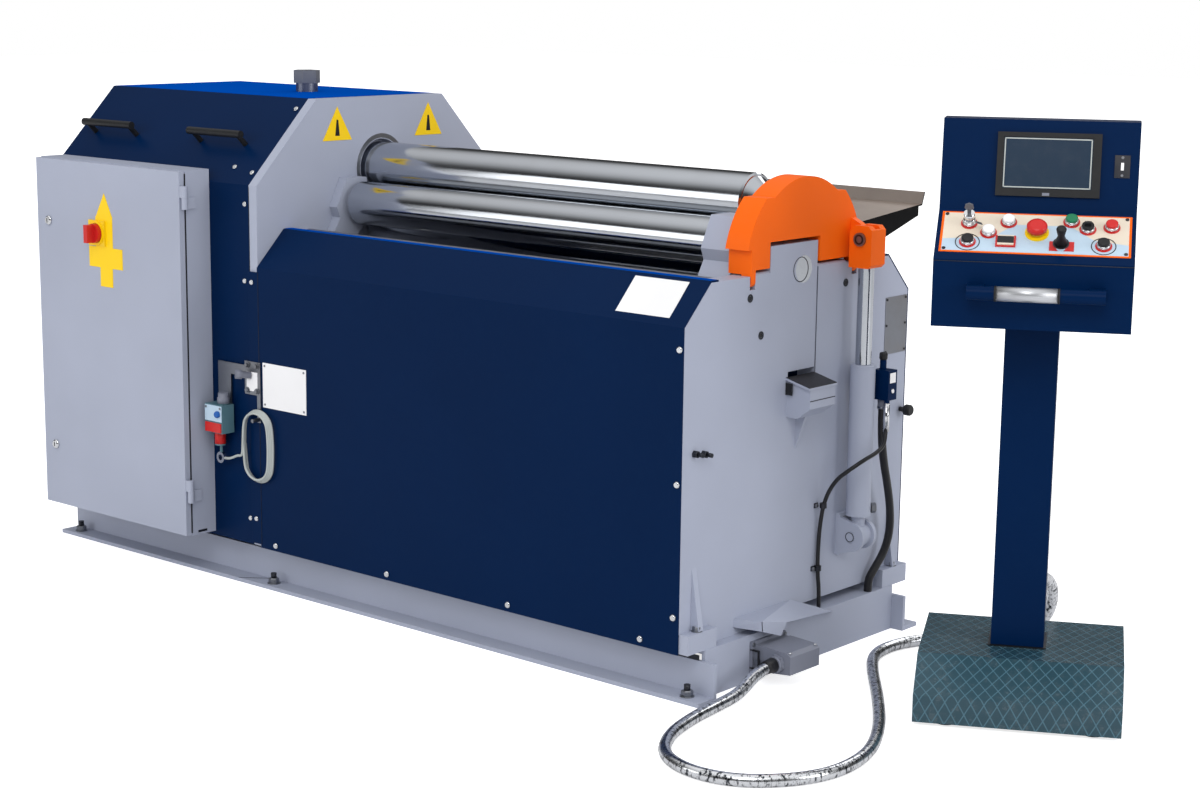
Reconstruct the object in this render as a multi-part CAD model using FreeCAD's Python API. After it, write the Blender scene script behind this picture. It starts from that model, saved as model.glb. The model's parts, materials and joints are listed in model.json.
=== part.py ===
import FreeCAD, Part
import math
import os

V = FreeCAD.Vector

# Four roll plate rolling machine with its free-standing control console.
# X runs along the rolls towards the drop end, -Y is the operator's side, Z is up.
# The origin is the middle of the anchor hole rectangle, at floor level.

# Base frame
base_half_length = 1164.0
half_depth = 440.0
rail_height = 88.0
rail_thickness = 10.0
rail_inset = 52.0
rail_flange = 55.0
rail_web_face = half_depth - rail_inset
rail_inner_face = rail_web_face - rail_thickness
anchor_inset = 54.0
anchor_x = base_half_length - anchor_inset
anchor_y = rail_web_face + 28.0
anchor_radius = 9.0
beam_height = 112.0
beam_wall = 10.0
beam_inset = 34.0
beam_outer_x = base_half_length - beam_inset
beam_depth = 88.0

# Frame plates
left_plate_inner = -298.0
left_plate_thickness = 30.0
left_plate_outer = left_plate_inner - left_plate_thickness
right_plate_inset = 28.0
right_plate_outer = beam_outer_x - right_plate_inset
right_plate_thickness = 50.0
right_plate_inner = right_plate_outer - right_plate_thickness
tall_bend_z = 1057.0
tall_top_z = 1270.0
tall_top_half = 232.0
low_bend_z = 847.0
low_top_z = 938.0
low_top_half = 349.0
cover_sheet = 4.0
hood_sheet = 5.0
hood_inset = 20.0
hood_end_x = hood_inset - base_half_length
upstand_z = 1000.0
pad_height = 6.0
pad_chamfer = 5.0
underside_gap = 20.0

# Rolls
top_roll_z = 1082.0
top_roll_radius = 67.7
top_roll_left = left_plate_inner - 14.0
top_roll_right = right_plate_inner - 91.0
top_hole_radius = 76.0
top_journal_radius = 45.0
tip_root_radius = 36.0
tip_end_radius = 27.0
bottom_roll_z = 937.0
bottom_roll_radius = 64.0
bottom_roll_left = left_plate_inner + 8.0
neck_radius = 32.0
bottom_travel = 60.0
side_roll_y = -112.0
side_roll_z = 996.0
side_roll_radius = 57.0
side_roll_left = left_plate_inner + 45.0
side_roll_right = right_plate_inner - 109.0
side_neck_radius = 27.0
slide_angle = 60.0
side_travel_down = 80.0
side_travel_up = 10.0
running_gap = 0.1
guide_gap = 0.5
clear_gap = 5.0

# Drop end
yoke_overhang = 13.0
yoke_inner = right_plate_inner - yoke_overhang
yoke_outer = right_plate_outer + 2.0
yoke_radius = 206.0
yoke_rim = 20.0
yoke_centre_z = 945.0
yoke_ledge = 165.0
yoke_brow = 52.0
yoke_leg_bottom = 951.0
yoke_front_outer = -196.0
yoke_front_inner = -137.0
yoke_rear_inner = 58.0
yoke_arch_z = 1010.0
toe_depth = 16.0
toe_bottom = 941.0
pivot_x = right_plate_outer - 12.0
pivot_z = 926.0
ear_radius = 14.0
pivot_pin_radius = 8.0
ear_play = 2.0
toe_front = yoke_front_outer - 10.0
rear_ear_y = 196.0
ear_rows = ((toe_front, toe_front + toe_depth), (rear_ear_y, rear_ear_y + toe_depth))
cylinder_x = right_plate_outer + 44.0
cylinder_y = 190.0
lug_pin_z = 996.0
foot_pin_z = 278.0
cylinder_pin_radius = 13.5
eye_width = 36.0
cheek_thickness = 11.0
cheek_gap = 0.5
barrel_radius = 30.0
rod_radius = 19.0
clevis_half = 31.0
clevis_width = 59.0
clevis_low = 928.0
clevis_high = 1028.0
tongue_width = 18.0
lug_pin_radius = 9.5

# Console
console_clear = 642.5
console_x = beam_outer_x + console_clear
console_y = -110.6
console_angle = 28.1


def box(x0, y0, z0, x1, y1, z1):
    return Part.makeBox(x1 - x0, y1 - y0, z1 - z0, V(x0, y0, z0))


def wire_face(points):
    return Part.Face(Part.makePolygon(points + [points[0]]))


def along_x(points, x0, x1):
    return wire_face([V(x0, y, z) for y, z in points]).extrude(V(x1 - x0, 0, 0))


def along_y(points, y0, y1):
    return wire_face([V(x, y0, z) for x, z in points]).extrude(V(0, y1 - y0, 0))


def along_z(points, z0, z1):
    return wire_face([V(x, y, z0) for x, y in points]).extrude(V(0, 0, z1 - z0))


def rod_x(x0, x1, y, z, radius):
    return Part.makeCylinder(radius, x1 - x0, V(x0, y, z), V(1, 0, 0))


def rod_y(y0, y1, x, z, radius):
    return Part.makeCylinder(radius, y1 - y0, V(x, y0, z), V(0, 1, 0))


def rod_z(z0, z1, x, y, radius):
    return Part.makeCylinder(radius, z1 - z0, V(x, y, z0), V(0, 0, 1))


def fuse(*shapes):
    return shapes[0].multiFuse(list(shapes[1:])).removeSplitter()


def mirrored(shape):
    return shape.mirror(V(0, 0, 0), V(0, 1, 0))


def plate_outline(top_half, top_z, bend_z, half, bottom_z):
    return [
        (-half, bottom_z),
        (half, bottom_z),
        (half, bend_z),
        (top_half, top_z),
        (-top_half, top_z),
        (-half, bend_z),
    ]


# Base rails with an outward flange that carries the anchor holes
def base_rail():
    outer = rail_web_face + rail_flange
    profile = [
        (-rail_inner_face, 0.0),
        (-outer, 0.0),
        (-outer, rail_thickness),
        (-rail_web_face, rail_thickness),
        (-rail_web_face, rail_height),
        (-rail_inner_face, rail_height),
    ]
    rail = along_x(profile, -base_half_length, base_half_length)
    for x in (-anchor_x, anchor_x):
        rail = rail.cut(rod_z(-1.0, rail_thickness + 1.0, x, -anchor_y, anchor_radius))
    return rail


# Cross beams are channels between the rails, open towards the inside
def cross_beam(web_x, side):
    inner = web_x - side * beam_depth
    lining = web_x - side * beam_wall
    profile = [
        (web_x, 0.0),
        (web_x, beam_height),
        (inner, beam_height),
        (inner, beam_height - beam_wall),
        (lining, beam_height - beam_wall),
        (lining, beam_wall),
        (inner, beam_wall),
        (inner, 0.0),
    ]
    return along_y(profile, -rail_inner_face, rail_inner_face)


# The line on which a side roll's blocks slide, from low outside to high inside
slide_dir = (math.cos(math.radians(slide_angle)), math.sin(math.radians(slide_angle)))
slide_normal = (slide_dir[1], -slide_dir[0])


def on_slide(along, across):
    y = side_roll_y + along * slide_dir[0] + across * slide_normal[0]
    z = side_roll_z + along * slide_dir[1] + across * slide_normal[1]
    return (y, z)


tongue_half = 40.0
tongue_top = -165.0
tongue_bottom = -265.0
tongue_depth = 24.0


def slide_strip(top, bottom, half, x0, x1):
    corners = [
        on_slide(bottom, -half),
        on_slide(bottom, half),
        on_slide(top, half),
        on_slide(top, -half),
    ]
    return along_x(corners, x0, x1)


# Blind inclined groove that guides the tongue of a side block
def slide_groove(x0, x1):
    top = tongue_top + side_travel_up + clear_gap
    bottom = tongue_bottom - side_travel_down - clear_gap
    return slide_strip(top, bottom, tongue_half + guide_gap, x0, x1)


# Side bearing block: a hexagonal head around the roll's neck on an inclined stem
def side_block(head_x0, head_x1, tongue_x0, tongue_x1):
    offsets = [(-78, -8), (-42, 66), (28, 66), (44, 20), (44, -30), (0, -80), (-48, -80)]
    head = along_x([(side_roll_y + a, side_roll_z + b) for a, b in offsets], head_x0, head_x1)
    stem = slide_strip(-40.0, tongue_bottom, tongue_half, head_x0, head_x1)
    tongue = slide_strip(tongue_top, tongue_bottom, tongue_half, tongue_x0, tongue_x1)
    block = fuse(head, stem, tongue)
    bore = rod_x(head_x0 - 60.0, head_x1 + 60.0, side_roll_y, side_roll_z,
                 side_neck_radius + running_gap)
    return block.cut(bore)


left_head = (left_plate_inner + guide_gap, left_plate_inner + 30.0)
right_head = (side_roll_right + 3.0, yoke_inner - clear_gap)
left_tongue = (left_plate_inner - tongue_depth + guide_gap, left_plate_inner + guide_gap)
right_tongue = (right_head[1], right_plate_inner + tongue_depth - guide_gap)


def side_roll():
    body = rod_x(side_roll_left, side_roll_right, side_roll_y, side_roll_z, side_roll_radius)
    body = body.makeChamfer(3.0, [e for e in body.Edges if e.Closed])
    neck_left = left_head[0] + 2.0
    neck_right = right_head[1] - 2.0
    neck = rod_x(neck_left, neck_right, side_roll_y, side_roll_z, side_neck_radius)
    return fuse(body, neck)


# Bottom roll and the square blocks that lift it
block_half = 53.0
block_low = 702.0
block_high = 1000.0
slot_half = block_half + guide_gap
slot_low = block_low - bottom_travel - clear_gap


def bottom_block(x0, x1):
    block = box(x0, -block_half, block_low, x1, block_half, block_high)
    return block.cut(rod_x(x0 - 5.0, x1 + 5.0, 0.0, bottom_roll_z, neck_radius + running_gap))


def bottom_roll():
    right = top_roll_right - 3.0
    body = rod_x(bottom_roll_left, right, 0.0, bottom_roll_z, bottom_roll_radius)
    body = body.makeChamfer(3.0, [e for e in body.Edges if e.Closed])
    neck = rod_x(left_plate_outer, right_plate_outer - 1.0, 0.0, bottom_roll_z, neck_radius)
    return fuse(body, neck)


# Top roll with the tapered tip that the yoke holds
def top_roll():
    body = rod_x(top_roll_left, top_roll_right, 0.0, top_roll_z, top_roll_radius)
    body = body.makeChamfer(4.0, [e for e in body.Edges if e.Closed])
    journal = rod_x(top_roll_left - 110.0, top_roll_left + 5.0, 0.0, top_roll_z,
                    top_journal_radius)
    neck = rod_x(top_roll_right - 5.0, yoke_inner - 6.0, 0.0, top_roll_z, tip_root_radius)
    tip = Part.makeCone(tip_root_radius, tip_end_radius, 40.0,
                        V(yoke_inner - 6.0, 0.0, top_roll_z), V(1, 0, 0))
    shoulder = Part.makeCone(60.0, tip_root_radius, 26.0,
                             V(top_roll_right, 0.0, top_roll_z), V(1, 0, 0))
    return fuse(body, journal, neck, tip, shoulder)


def top_roll_bearing():
    x1 = left_plate_outer
    x0 = x1 - 80.0
    flange = rod_x(x1 - 20.0, x1, 0.0, top_roll_z, 110.0)
    hub = rod_x(x0, x1 - 20.0, 0.0, top_roll_z, 85.0)
    bore = rod_x(x0 - 1.0, x1 + 1.0, 0.0, top_roll_z, top_journal_radius + running_gap)
    return fuse(flange, hub).cut(bore)


# Frame plates
def left_frame_plate():
    outline = plate_outline(tall_top_half, tall_top_z, tall_bend_z, half_depth, beam_height)
    plate = along_x(outline, left_plate_outer, left_plate_inner)
    plate = plate.cut(rod_x(left_plate_outer - 1, left_plate_inner + 1, 0, top_roll_z,
                            top_hole_radius))
    plate = plate.cut(box(left_plate_outer - 1, -slot_half, slot_low, left_plate_inner + 1,
                          slot_half, block_high + 1))
    groove = slide_groove(left_plate_inner - tongue_depth, left_plate_inner + 1)
    return plate.cut(groove).cut(mirrored(groove))


def right_end_plate():
    x0 = right_plate_inner
    x1 = right_plate_outer
    top = low_top_z
    pad = top + pad_height
    plate = along_x(plate_outline(low_top_half, top, low_bend_z, half_depth, beam_height), x0, x1)
    pad_section = [(x0, top - 1), (x1, top - 1), (x1, pad - pad_chamfer), (x1 - pad_chamfer, pad), (x0, pad)]
    front_pad = along_y(pad_section, ear_rows[0][1] + ear_play, -slot_half)
    rear_pad = along_y(pad_section, slot_half, rear_ear_y - 28.0)
    upstand = box(x0, yoke_front_inner + clear_gap, top - 1, x1, -slot_half, upstand_z)
    plate = fuse(plate, front_pad, rear_pad, upstand)
    plate = plate.cut(box(x0 - 1, -slot_half, slot_low, x1 + 1, slot_half, upstand_z + 1))
    plate = plate.cut(box(x0 - 1, 30.0, beam_height - 1, x1 + 1, 330.0, beam_height + underside_gap))
    groove = slide_groove(x0 - 1, x0 + tongue_depth)
    plate = plate.cut(groove).cut(mirrored(groove))
    reach = ear_radius + clear_gap
    for y0, y1 in ear_rows:
        notch = box(pivot_x - reach, y0 - ear_play, pivot_z - reach, x1 + 1, y1 + ear_play, pad + 1)
        plate = plate.cut(notch)
        plate = plate.cut(rod_y(y0 - 22.0, y1 + 22.0, pivot_x, pivot_z, pivot_pin_radius))
    return plate


# Outline of the yoke from the front leg over the arch to the rear leg
def yoke_body():
    x = yoke_inner
    c = yoke_centre_z
    inner = yoke_radius
    outer = yoke_radius + yoke_rim
    brow = math.sqrt(outer ** 2 - yoke_brow ** 2)
    ledge_out = math.sqrt(outer ** 2 - yoke_ledge ** 2)
    ledge_in = math.sqrt(inner ** 2 - yoke_ledge ** 2)
    middle = math.radians(30.0)
    side_y = outer * math.cos(middle)
    side_z = c + outer * math.sin(middle)

    def at(y, z):
        return V(x, y, z)

    edges = [
        Part.Arc(at(-brow, c + yoke_brow), at(-side_y, side_z), at(-ledge_out, c + yoke_ledge)).toShape(),
        Part.makeLine(at(-ledge_out, c + yoke_ledge), at(-ledge_in, c + yoke_ledge)),
        Part.Arc(at(-ledge_in, c + yoke_ledge), at(0, c + inner), at(ledge_in, c + yoke_ledge)).toShape(),
        Part.makeLine(at(ledge_in, c + yoke_ledge), at(ledge_out, c + yoke_ledge)),
        Part.Arc(at(ledge_out, c + yoke_ledge), at(side_y, side_z), at(brow, c + yoke_brow)).toShape(),
    ]
    low = yoke_leg_bottom
    corners = [
        (brow, c + yoke_brow), (brow, low), (yoke_rear_inner, low), (yoke_rear_inner, yoke_arch_z),
        (yoke_front_inner, yoke_arch_z), (yoke_front_inner, low), (yoke_front_outer, low),
        (yoke_front_outer, c + yoke_brow), (-brow, c + yoke_brow),
    ]
    for a, b in zip(corners[:-1], corners[1:]):
        edges.append(Part.makeLine(at(a[0], a[1]), at(b[0], b[1])))
    return Part.Face(Part.Wire(edges)).extrude(V(yoke_outer - yoke_inner, 0, 0))


# Tongue of the yoke between the cheeks of the rod's clevis
def yoke_tongue():
    near = cylinder_y - tongue_width / 2
    far = cylinder_y + tongue_width / 2
    root = yoke_outer - 2.0
    shape = [(root, lug_pin_z - 22.0), (cylinder_x, lug_pin_z - 22.0), (cylinder_x, lug_pin_z + 22.0),
             (cylinder_x - 18.0, clevis_high + 4.0), (root, clevis_high + 16.0)]
    return fuse(along_y(shape, near, far), rod_y(near, far, cylinder_x, lug_pin_z, 22.0))


# Yoke that holds the free end of the top roll and tips outwards
def drop_end_yoke():
    body = yoke_body()
    depth = 38.0
    socket = Part.makeCone(tip_root_radius + 7.0, tip_end_radius + 6.5, depth + 1.0,
                           V(yoke_inner - 1.0, 0, top_roll_z), V(1, 0, 0))
    body = body.cut(socket)
    toe = box(yoke_inner, toe_front, toe_bottom, yoke_outer, toe_front + toe_depth, yoke_centre_z + yoke_brow)
    ears = []
    for y0, y1 in ear_rows:
        disc = rod_y(y0, y1, pivot_x, pivot_z, ear_radius)
        web = box(pivot_x - ear_radius, y0, pivot_z, yoke_outer, y1, yoke_leg_bottom + 4)
        ears.append(fuse(disc, web))
    body = fuse(body, toe, yoke_tongue(), *ears)
    body = body.cut(rod_y(cylinder_y - 40.0, cylinder_y + 40.0, cylinder_x, lug_pin_z, lug_pin_radius))
    for y0, y1 in ear_rows:
        body = body.cut(rod_y(y0 - 1, y1 + 1, pivot_x, pivot_z, pivot_pin_radius + running_gap))
    return body


# Pin held by the tongue, with a head on the operator's side and a washer behind
def lug_pin():
    near = cylinder_y - clevis_width / 2 - 0.3
    far = cylinder_y + clevis_width / 2 + 0.3
    shank = rod_y(near - 1.0, far + 1.0, cylinder_x, lug_pin_z, lug_pin_radius)
    head = rod_y(near - 6.0, near, cylinder_x, lug_pin_z, lug_pin_radius + 6.5)
    washer = rod_y(far, far + 4.0, cylinder_x, lug_pin_z, lug_pin_radius + 6.5)
    return fuse(shank, head, washer)


def yoke_hinge_pin():
    pins = [rod_y(y0 - 22.0, y1 + 22.0, pivot_x, pivot_z, pivot_pin_radius) for y0, y1 in ear_rows]
    return Part.makeCompound(pins)


# Drop end cylinder: it stands on its foot pin and its clevis holds the yoke's tongue
barrel_low = 50.0
barrel_high = 413.0
barrel_wall = 5.0
piston_at = 300.0
piston_height = 30.0
gland_height = 40.0


def stand(low, high, radius):
    return rod_z(foot_pin_z + low, foot_pin_z + high, cylinder_x, cylinder_y, radius)


def cylinder_barrel():
    tube = stand(barrel_low, barrel_high, barrel_radius)
    bore = stand(barrel_low + 20.0, barrel_high - gland_height, barrel_radius - barrel_wall)
    gland = stand(barrel_high - gland_height - 1.0, barrel_high + 1.0, rod_radius + running_gap)
    half = eye_width / 2
    eye = rod_y(cylinder_y - half, cylinder_y + half, cylinder_x, foot_pin_z, 28.0)
    neck = stand(0.0, barrel_low + 1.0, 17.0)
    body = fuse(tube, eye, neck).cut(bore).cut(gland)
    return body.cut(rod_y(cylinder_y - 40, cylinder_y + 40, cylinder_x, foot_pin_z,
                          cylinder_pin_radius + running_gap))


def cylinder_rod():
    rod = stand(piston_at, clevis_low - foot_pin_z, rod_radius)
    piston = stand(piston_at, piston_at + piston_height, barrel_radius - barrel_wall - running_gap)
    return fuse(rod, piston)


# Block on the rod's end with a slot for the yoke's tongue, open at the top and the inner side
def rod_clevis():
    low = clevis_low
    high = clevis_high
    x0 = cylinder_x - clevis_half
    x1 = cylinder_x + clevis_half
    near = cylinder_y - clevis_width / 2
    shape = [(x0, low), (x1 - 8.0, low), (x1, low + 8.0), (x1, high - 10.0), (x1 - 10.0, high),
             (x0 + 14.0, high), (x0, high - 14.0)]
    block = along_y(shape, near, near + clevis_width)
    half_slot = tongue_width / 2 + 2.0
    slot = box(x0 - 1, cylinder_y - half_slot, lug_pin_z - 30.0, cylinder_x + 28.0,
               cylinder_y + half_slot, high + 1)
    bore = rod_y(near - 1, near + clevis_width + 1, cylinder_x, lug_pin_z, lug_pin_radius + 4.6)
    return block.cut(slot).cut(bore)


foot_near = cylinder_y - eye_width / 2 - cheek_gap - cheek_thickness
foot_far = cylinder_y + eye_width / 2 + cheek_gap


def cylinder_foot():
    plate = right_plate_outer
    back = box(plate, foot_near, foot_pin_z - 50.0, plate + 12.0, foot_far + cheek_thickness,
               foot_pin_z + 52.0)
    shape = [(plate + 10.0, foot_pin_z + 44.0), (cylinder_x + 6.0, foot_pin_z + 34.0),
             (cylinder_x + 6.0, foot_pin_z - 34.0), (plate + 10.0, foot_pin_z - 48.0)]
    cheeks = []
    for y in (foot_near, foot_far):
        end = rod_y(y, y + cheek_thickness, cylinder_x, foot_pin_z, 36.0)
        cheeks.append(fuse(along_y(shape, y, y + cheek_thickness), end))
    body = fuse(back, *cheeks)
    return body.cut(rod_y(foot_near - 1, foot_far + 30, cylinder_x, foot_pin_z, cylinder_pin_radius))


def foot_pin():
    return rod_y(foot_near - 3.0, foot_far + cheek_thickness + 3.0, cylinder_x, foot_pin_z,
                 cylinder_pin_radius)


# Valve block behind the barrel, held to the end plate by its bracket
valve_x0 = right_plate_outer + 50.0
valve_x1 = valve_x0 + 44.0
valve_y0 = cylinder_y + 36.0
valve_y1 = valve_y0 + 36.0
valve_low = 608.0
valve_high = 680.0
thick_hose_radius = 10.0
thin_hose_radius = 5.0
thick_fitting = (valve_x0 + 14.0, valve_y0 + 23.0, 585.0)
thin_fitting = (valve_x0 + 36.0, valve_y0 + 8.0, 570.0)


def valve_block():
    block = box(valve_x0, valve_y0, valve_low, valve_x1, valve_y1, valve_high)
    bracket = box(right_plate_outer, valve_y0 + 10.0, valve_low + 17.0, valve_x0, valve_y0 + 28.0,
                  valve_high - 15.0)
    knob = rod_z(valve_high, valve_high + 22.0, valve_x0 + 14.0, valve_y0 + 20.0, 8.0)
    fittings = []
    for place, hose_radius in ((thick_fitting, thick_hose_radius), (thin_fitting, thin_hose_radius)):
        x, y, z = place
        fittings.append(rod_z(z, valve_low, x, y, hose_radius + 1.5))
    return fuse(block, bracket, knob, *fittings)


# Housing of the roll lift with a sloping lid
lift_y0 = -55.0
lift_y1 = 45.0
lift_reach = 66.0
lift_low = 596.0
lift_high = 685.0
lid_drop = 17.0
lid_sheet = 4.0


def lift_cylinder_box():
    x0 = right_plate_outer
    x1 = x0 + lift_reach
    shape = [(x0, lift_low), (x0 + 30.0, lift_low), (x1, lift_low + 26.0), (x1, lift_high - lid_drop),
             (x0, lift_high)]
    body = along_y(shape, lift_y0, lift_y1)
    gusset = along_y([(x0, lift_low + 1.0), (x0 + 28.0, lift_low + 1.0), (x0, lift_low - 80.0)],
                     -18.0, -8.0)
    lid_shape = [(x0, lift_high - 1.0), (x1 + 2.0, lift_high - lid_drop - 1.0),
                 (x1 + 2.0, lift_high - lid_drop + lid_sheet), (x0, lift_high + lid_sheet)]
    lid = along_y(lid_shape, lift_y0 - 6.0, lift_y1 + 6.0)
    return fuse(body, gusset, lid)


# Sheet metal covers and the drive housing
def front_cover():
    outer = half_depth + cover_sheet
    profile = [
        (-half_depth, 109.0), (-outer, 109.0), (-outer, low_bend_z + 1.5),
        (-low_top_half - 1.5, low_top_z + cover_sheet), (-low_top_half + 26.0, low_top_z + cover_sheet),
        (-low_top_half + 26.0, low_top_z), (-low_top_half, low_top_z), (-half_depth, low_bend_z),
    ]
    return along_x(profile, left_plate_inner + 1.0, right_plate_outer)


def drive_hood():
    def outline(inset):
        k = inset * 0.41
        return plate_outline(tall_top_half - k, tall_top_z - inset, tall_bend_z - k,
                             half_depth - inset, beam_height + (0 if inset == 0 else -1))
    shell = along_x(outline(0.0), hood_end_x, left_plate_outer)
    hollow = along_x(outline(hood_sheet), hood_end_x + hood_sheet, left_plate_outer + 1)
    return shell.cut(hollow)


handle_places = (hood_end_x + 159.0, left_plate_outer - 205.0)


def hood_handle(x):
    slope = (tall_top_z - tall_bend_z) / (half_depth - tall_top_half)
    z = 1150.0
    y = -half_depth + (z - tall_bend_z) / slope
    length = math.hypot(1.0, slope)
    out = (-slope / length, 1.0 / length)
    parts = []
    for dx in (-90.0, 90.0):
        parts.append(Part.makeCylinder(7.0, 38.0, V(x + dx, y, z), V(0, out[0], out[1])))
    grip = Part.makeCylinder(10.0, 210.0, V(x - 105.0, y + 40 * out[0], z + 40 * out[1]), V(1, 0, 0))
    return fuse(grip, *parts)


lifting_bolt_x = left_plate_outer - 262.0


def hood_lifting_bolt():
    stud = rod_z(tall_top_z, tall_top_z + 24.0, lifting_bolt_x, 0.0, 30.0)
    points = []
    for k in range(6):
        a = math.radians(60 * k)
        points.append((lifting_bolt_x + 37.0 * math.cos(a), 37.0 * math.sin(a)))
    head = along_z(points, tall_top_z + 24.0, tall_top_z + 59.0)
    return fuse(stud, head)


# Electrical cabinet in front of the drive housing
cab_x0 = hood_end_x + 46.0
switch_room = 186.0
cab_x1 = left_plate_inner - switch_room
cab_depth = 98.0
cab_front = -half_depth - cab_depth
cab_low = 122.0
cab_high = 1089.0
door_thickness = 18.0
door_seal = 0.3


def cabinet_body():
    back = -half_depth
    front = cab_front + door_thickness + door_seal
    body = box(cab_x0, front, cab_low, cab_x1, back, cab_high)
    hollow = box(cab_x0 + 3, front - 1, cab_low + 3, cab_x1 - 3, back - 3, cab_high - 3)
    return body.cut(hollow)


door_axis_x = cab_x1 + 9.0
door_axis_y = cab_front + 9.0
hinge_levels = (215.0, 990.0)
knuckle_radius = 8.0
hinge_pin_radius = 4.0
hinge_gap = 0.08
knuckle_length = 30.0


# Hinges at the door's right edge: lower half with the pin on the body, upper half on the door
def body_hinges():
    back = cab_front + door_thickness + door_seal
    halves = []
    for z in hinge_levels:
        knuckle = rod_z(z, z + knuckle_length, door_axis_x, door_axis_y, knuckle_radius)
        leaf = box(cab_x1, door_axis_y, z, cab_x1 + 5.0, back + 30.0, z + knuckle_length)
        pin = rod_z(z, z + 2 * knuckle_length, door_axis_x, door_axis_y, hinge_pin_radius)
        halves.append(fuse(knuckle, leaf, pin))
    return Part.makeCompound(halves)


def door_hinge_half(level):
    z = level + knuckle_length + door_seal
    top = level + 2 * knuckle_length
    knuckle = rod_z(z, top, door_axis_x, door_axis_y, knuckle_radius)
    return fuse(knuckle, box(cab_x1 - 3.0, cab_front + 1.0, z, door_axis_x, cab_front + 6.0, top))


def cabinet_door():
    back = cab_front + door_thickness
    pan = box(cab_x0 + 2, cab_front, cab_low + 2, cab_x1 - 2, back, cab_high - 2)
    pan = pan.cut(box(cab_x0 + 4, cab_front + 2, cab_low + 4, cab_x1 - 4, back + 1, cab_high - 4))
    door = fuse(pan, *[door_hinge_half(z) for z in hinge_levels])
    return door.cut(rod_z(cab_low, cab_high, door_axis_x, door_axis_y, hinge_pin_radius + hinge_gap))


isolator_x = cab_x0 + 269.0
isolator_z = 901.0


def isolator_plate():
    plate = box(isolator_x - 34, cab_front - 6, isolator_z - 34, isolator_x + 34, cab_front, isolator_z + 34)
    return plate


def isolator_knob():
    dial = rod_y(cab_front - 20, cab_front - 6, isolator_x, isolator_z, 26.0)
    grip = box(isolator_x - 8, cab_front - 42, isolator_z - 24, isolator_x + 8, cab_front - 18, isolator_z + 24)
    return fuse(dial, grip)


# Tie shaft behind the front cover
shaft_y = -262.0
shaft_z = 905.0
shaft_radius = 30.0


def torsion_shaft():
    return rod_x(left_plate_inner, right_plate_inner, shaft_y, shaft_z, shaft_radius)


# Blocks that stand on the base beside the end plate
foot_block_width = 105.0
foot_block_height = 45.0


def plate_foot():
    x0 = right_plate_outer
    x1 = beam_outer_x - 2.0
    top = beam_height + foot_block_height
    block = box(x0, -half_depth, beam_height, x1, foot_block_width - half_depth, top)
    gusset = along_y([(x0, top), (x1 - 2.0, top), (x0, top + 143.0)], 42.0 - half_depth, 58.0 - half_depth)
    return fuse(block, gusset)


# Run-out table at the back, on two arms that stand on the lip of the rear cover
table_near = 206.0
table_far = 600.0
table_low = 1001.0
table_rise = 36.0
table_sheet = 4.0
table_x0 = left_plate_inner + 8.0
table_x1 = yoke_inner - clear_gap - 1.0
fence_height = 33.0
fence_lean = 12.0
arm_thickness = 12.0


def rear_table():
    low = table_low
    high = table_low + table_rise
    s = table_sheet
    top = along_x([(table_near, low), (table_far, high), (table_far, high + s), (table_near, low + s)],
                  table_x0, table_x1)
    fence = along_x([(table_far - s, high), (table_far, high), (table_far + fence_lean, high + fence_height),
                     (table_far + fence_lean - s, high + fence_height)], table_x0, table_x1)
    lip = along_x([(table_near, low - 23.0), (table_near + s, low - 23.0), (table_near + s, low + 1.0),
                   (table_near, low + 1.0)], table_x0, table_x1)
    slope = table_rise / (table_far - table_near)
    seat = low_top_z + cover_sheet
    near = table_near + 44.0
    far = table_far - 10.0
    arms = []
    for x in (table_x0 + 4.0, table_x1 - 4.0 - arm_thickness):
        arms.append(along_x([(near, low + 44.0 * slope + 0.5), (far, high - 10.0 * slope + 0.5),
                             (far, high - 25.0), (low_top_half + 3.0, seat), (low_top_half - 23.0, seat),
                             (near, low - 16.0)], x, x + arm_thickness))
    return fuse(top, fence, lip, *arms)


# Plug connector of the control cable on the end beam
plug_front = -204.0
plug_back = -90.0
plug_outer_x = beam_outer_x + 110.0
gland_x = plug_outer_x - 36.0
gland_z = 58.0
gland_front = plug_front - 18.0


def connector_housing():
    flange = box(beam_outer_x, plug_front - 8.0, 22.0, beam_outer_x + 8.0, plug_back + 8.0, 96.0)
    return fuse(flange, box(beam_outer_x + 8.0, plug_front, 30.0, beam_outer_x + 26.0, plug_back, 88.0))


def connector_hood():
    x0 = beam_outer_x + 26.0
    profile = [(x0, 28.0), (plug_outer_x, 36.0), (plug_outer_x, 78.0), (plug_outer_x - 10.0, 86.0),
               (x0, 90.0)]
    return along_y(profile, plug_front, plug_back)


def cable_gland():
    return rod_y(gland_front, plug_front, gland_x, gland_z, 20.0)


# Pull-cord safety switch on the front cover, with its spare rope on a hook
switch_back = -half_depth - cover_sheet
bracket_x0 = left_plate_inner - 48.0
bracket_x1 = bracket_x0 + 60.0
bracket_sheet = 4.0
switch_x0 = bracket_x0 - 116.0
switch_x1 = switch_x0 + 70.0
switch_low = 405.0
switch_high = 480.0
stem_x = switch_x0 + 30.0
eye_z = 334.0
hook_x = bracket_x1 - 6.0
hook_z = 452.0
coil_half_width = 56.0
coil_band = 22.0
coil_straight = 40.0
coil_depth = 18.0
coil_back = switch_back - bracket_sheet - 2.0
switch_y = coil_back - coil_depth / 2
hook_radius = 5.0
coil_z = hook_z + hook_radius + 0.3 - coil_straight - coil_half_width + coil_band


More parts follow.
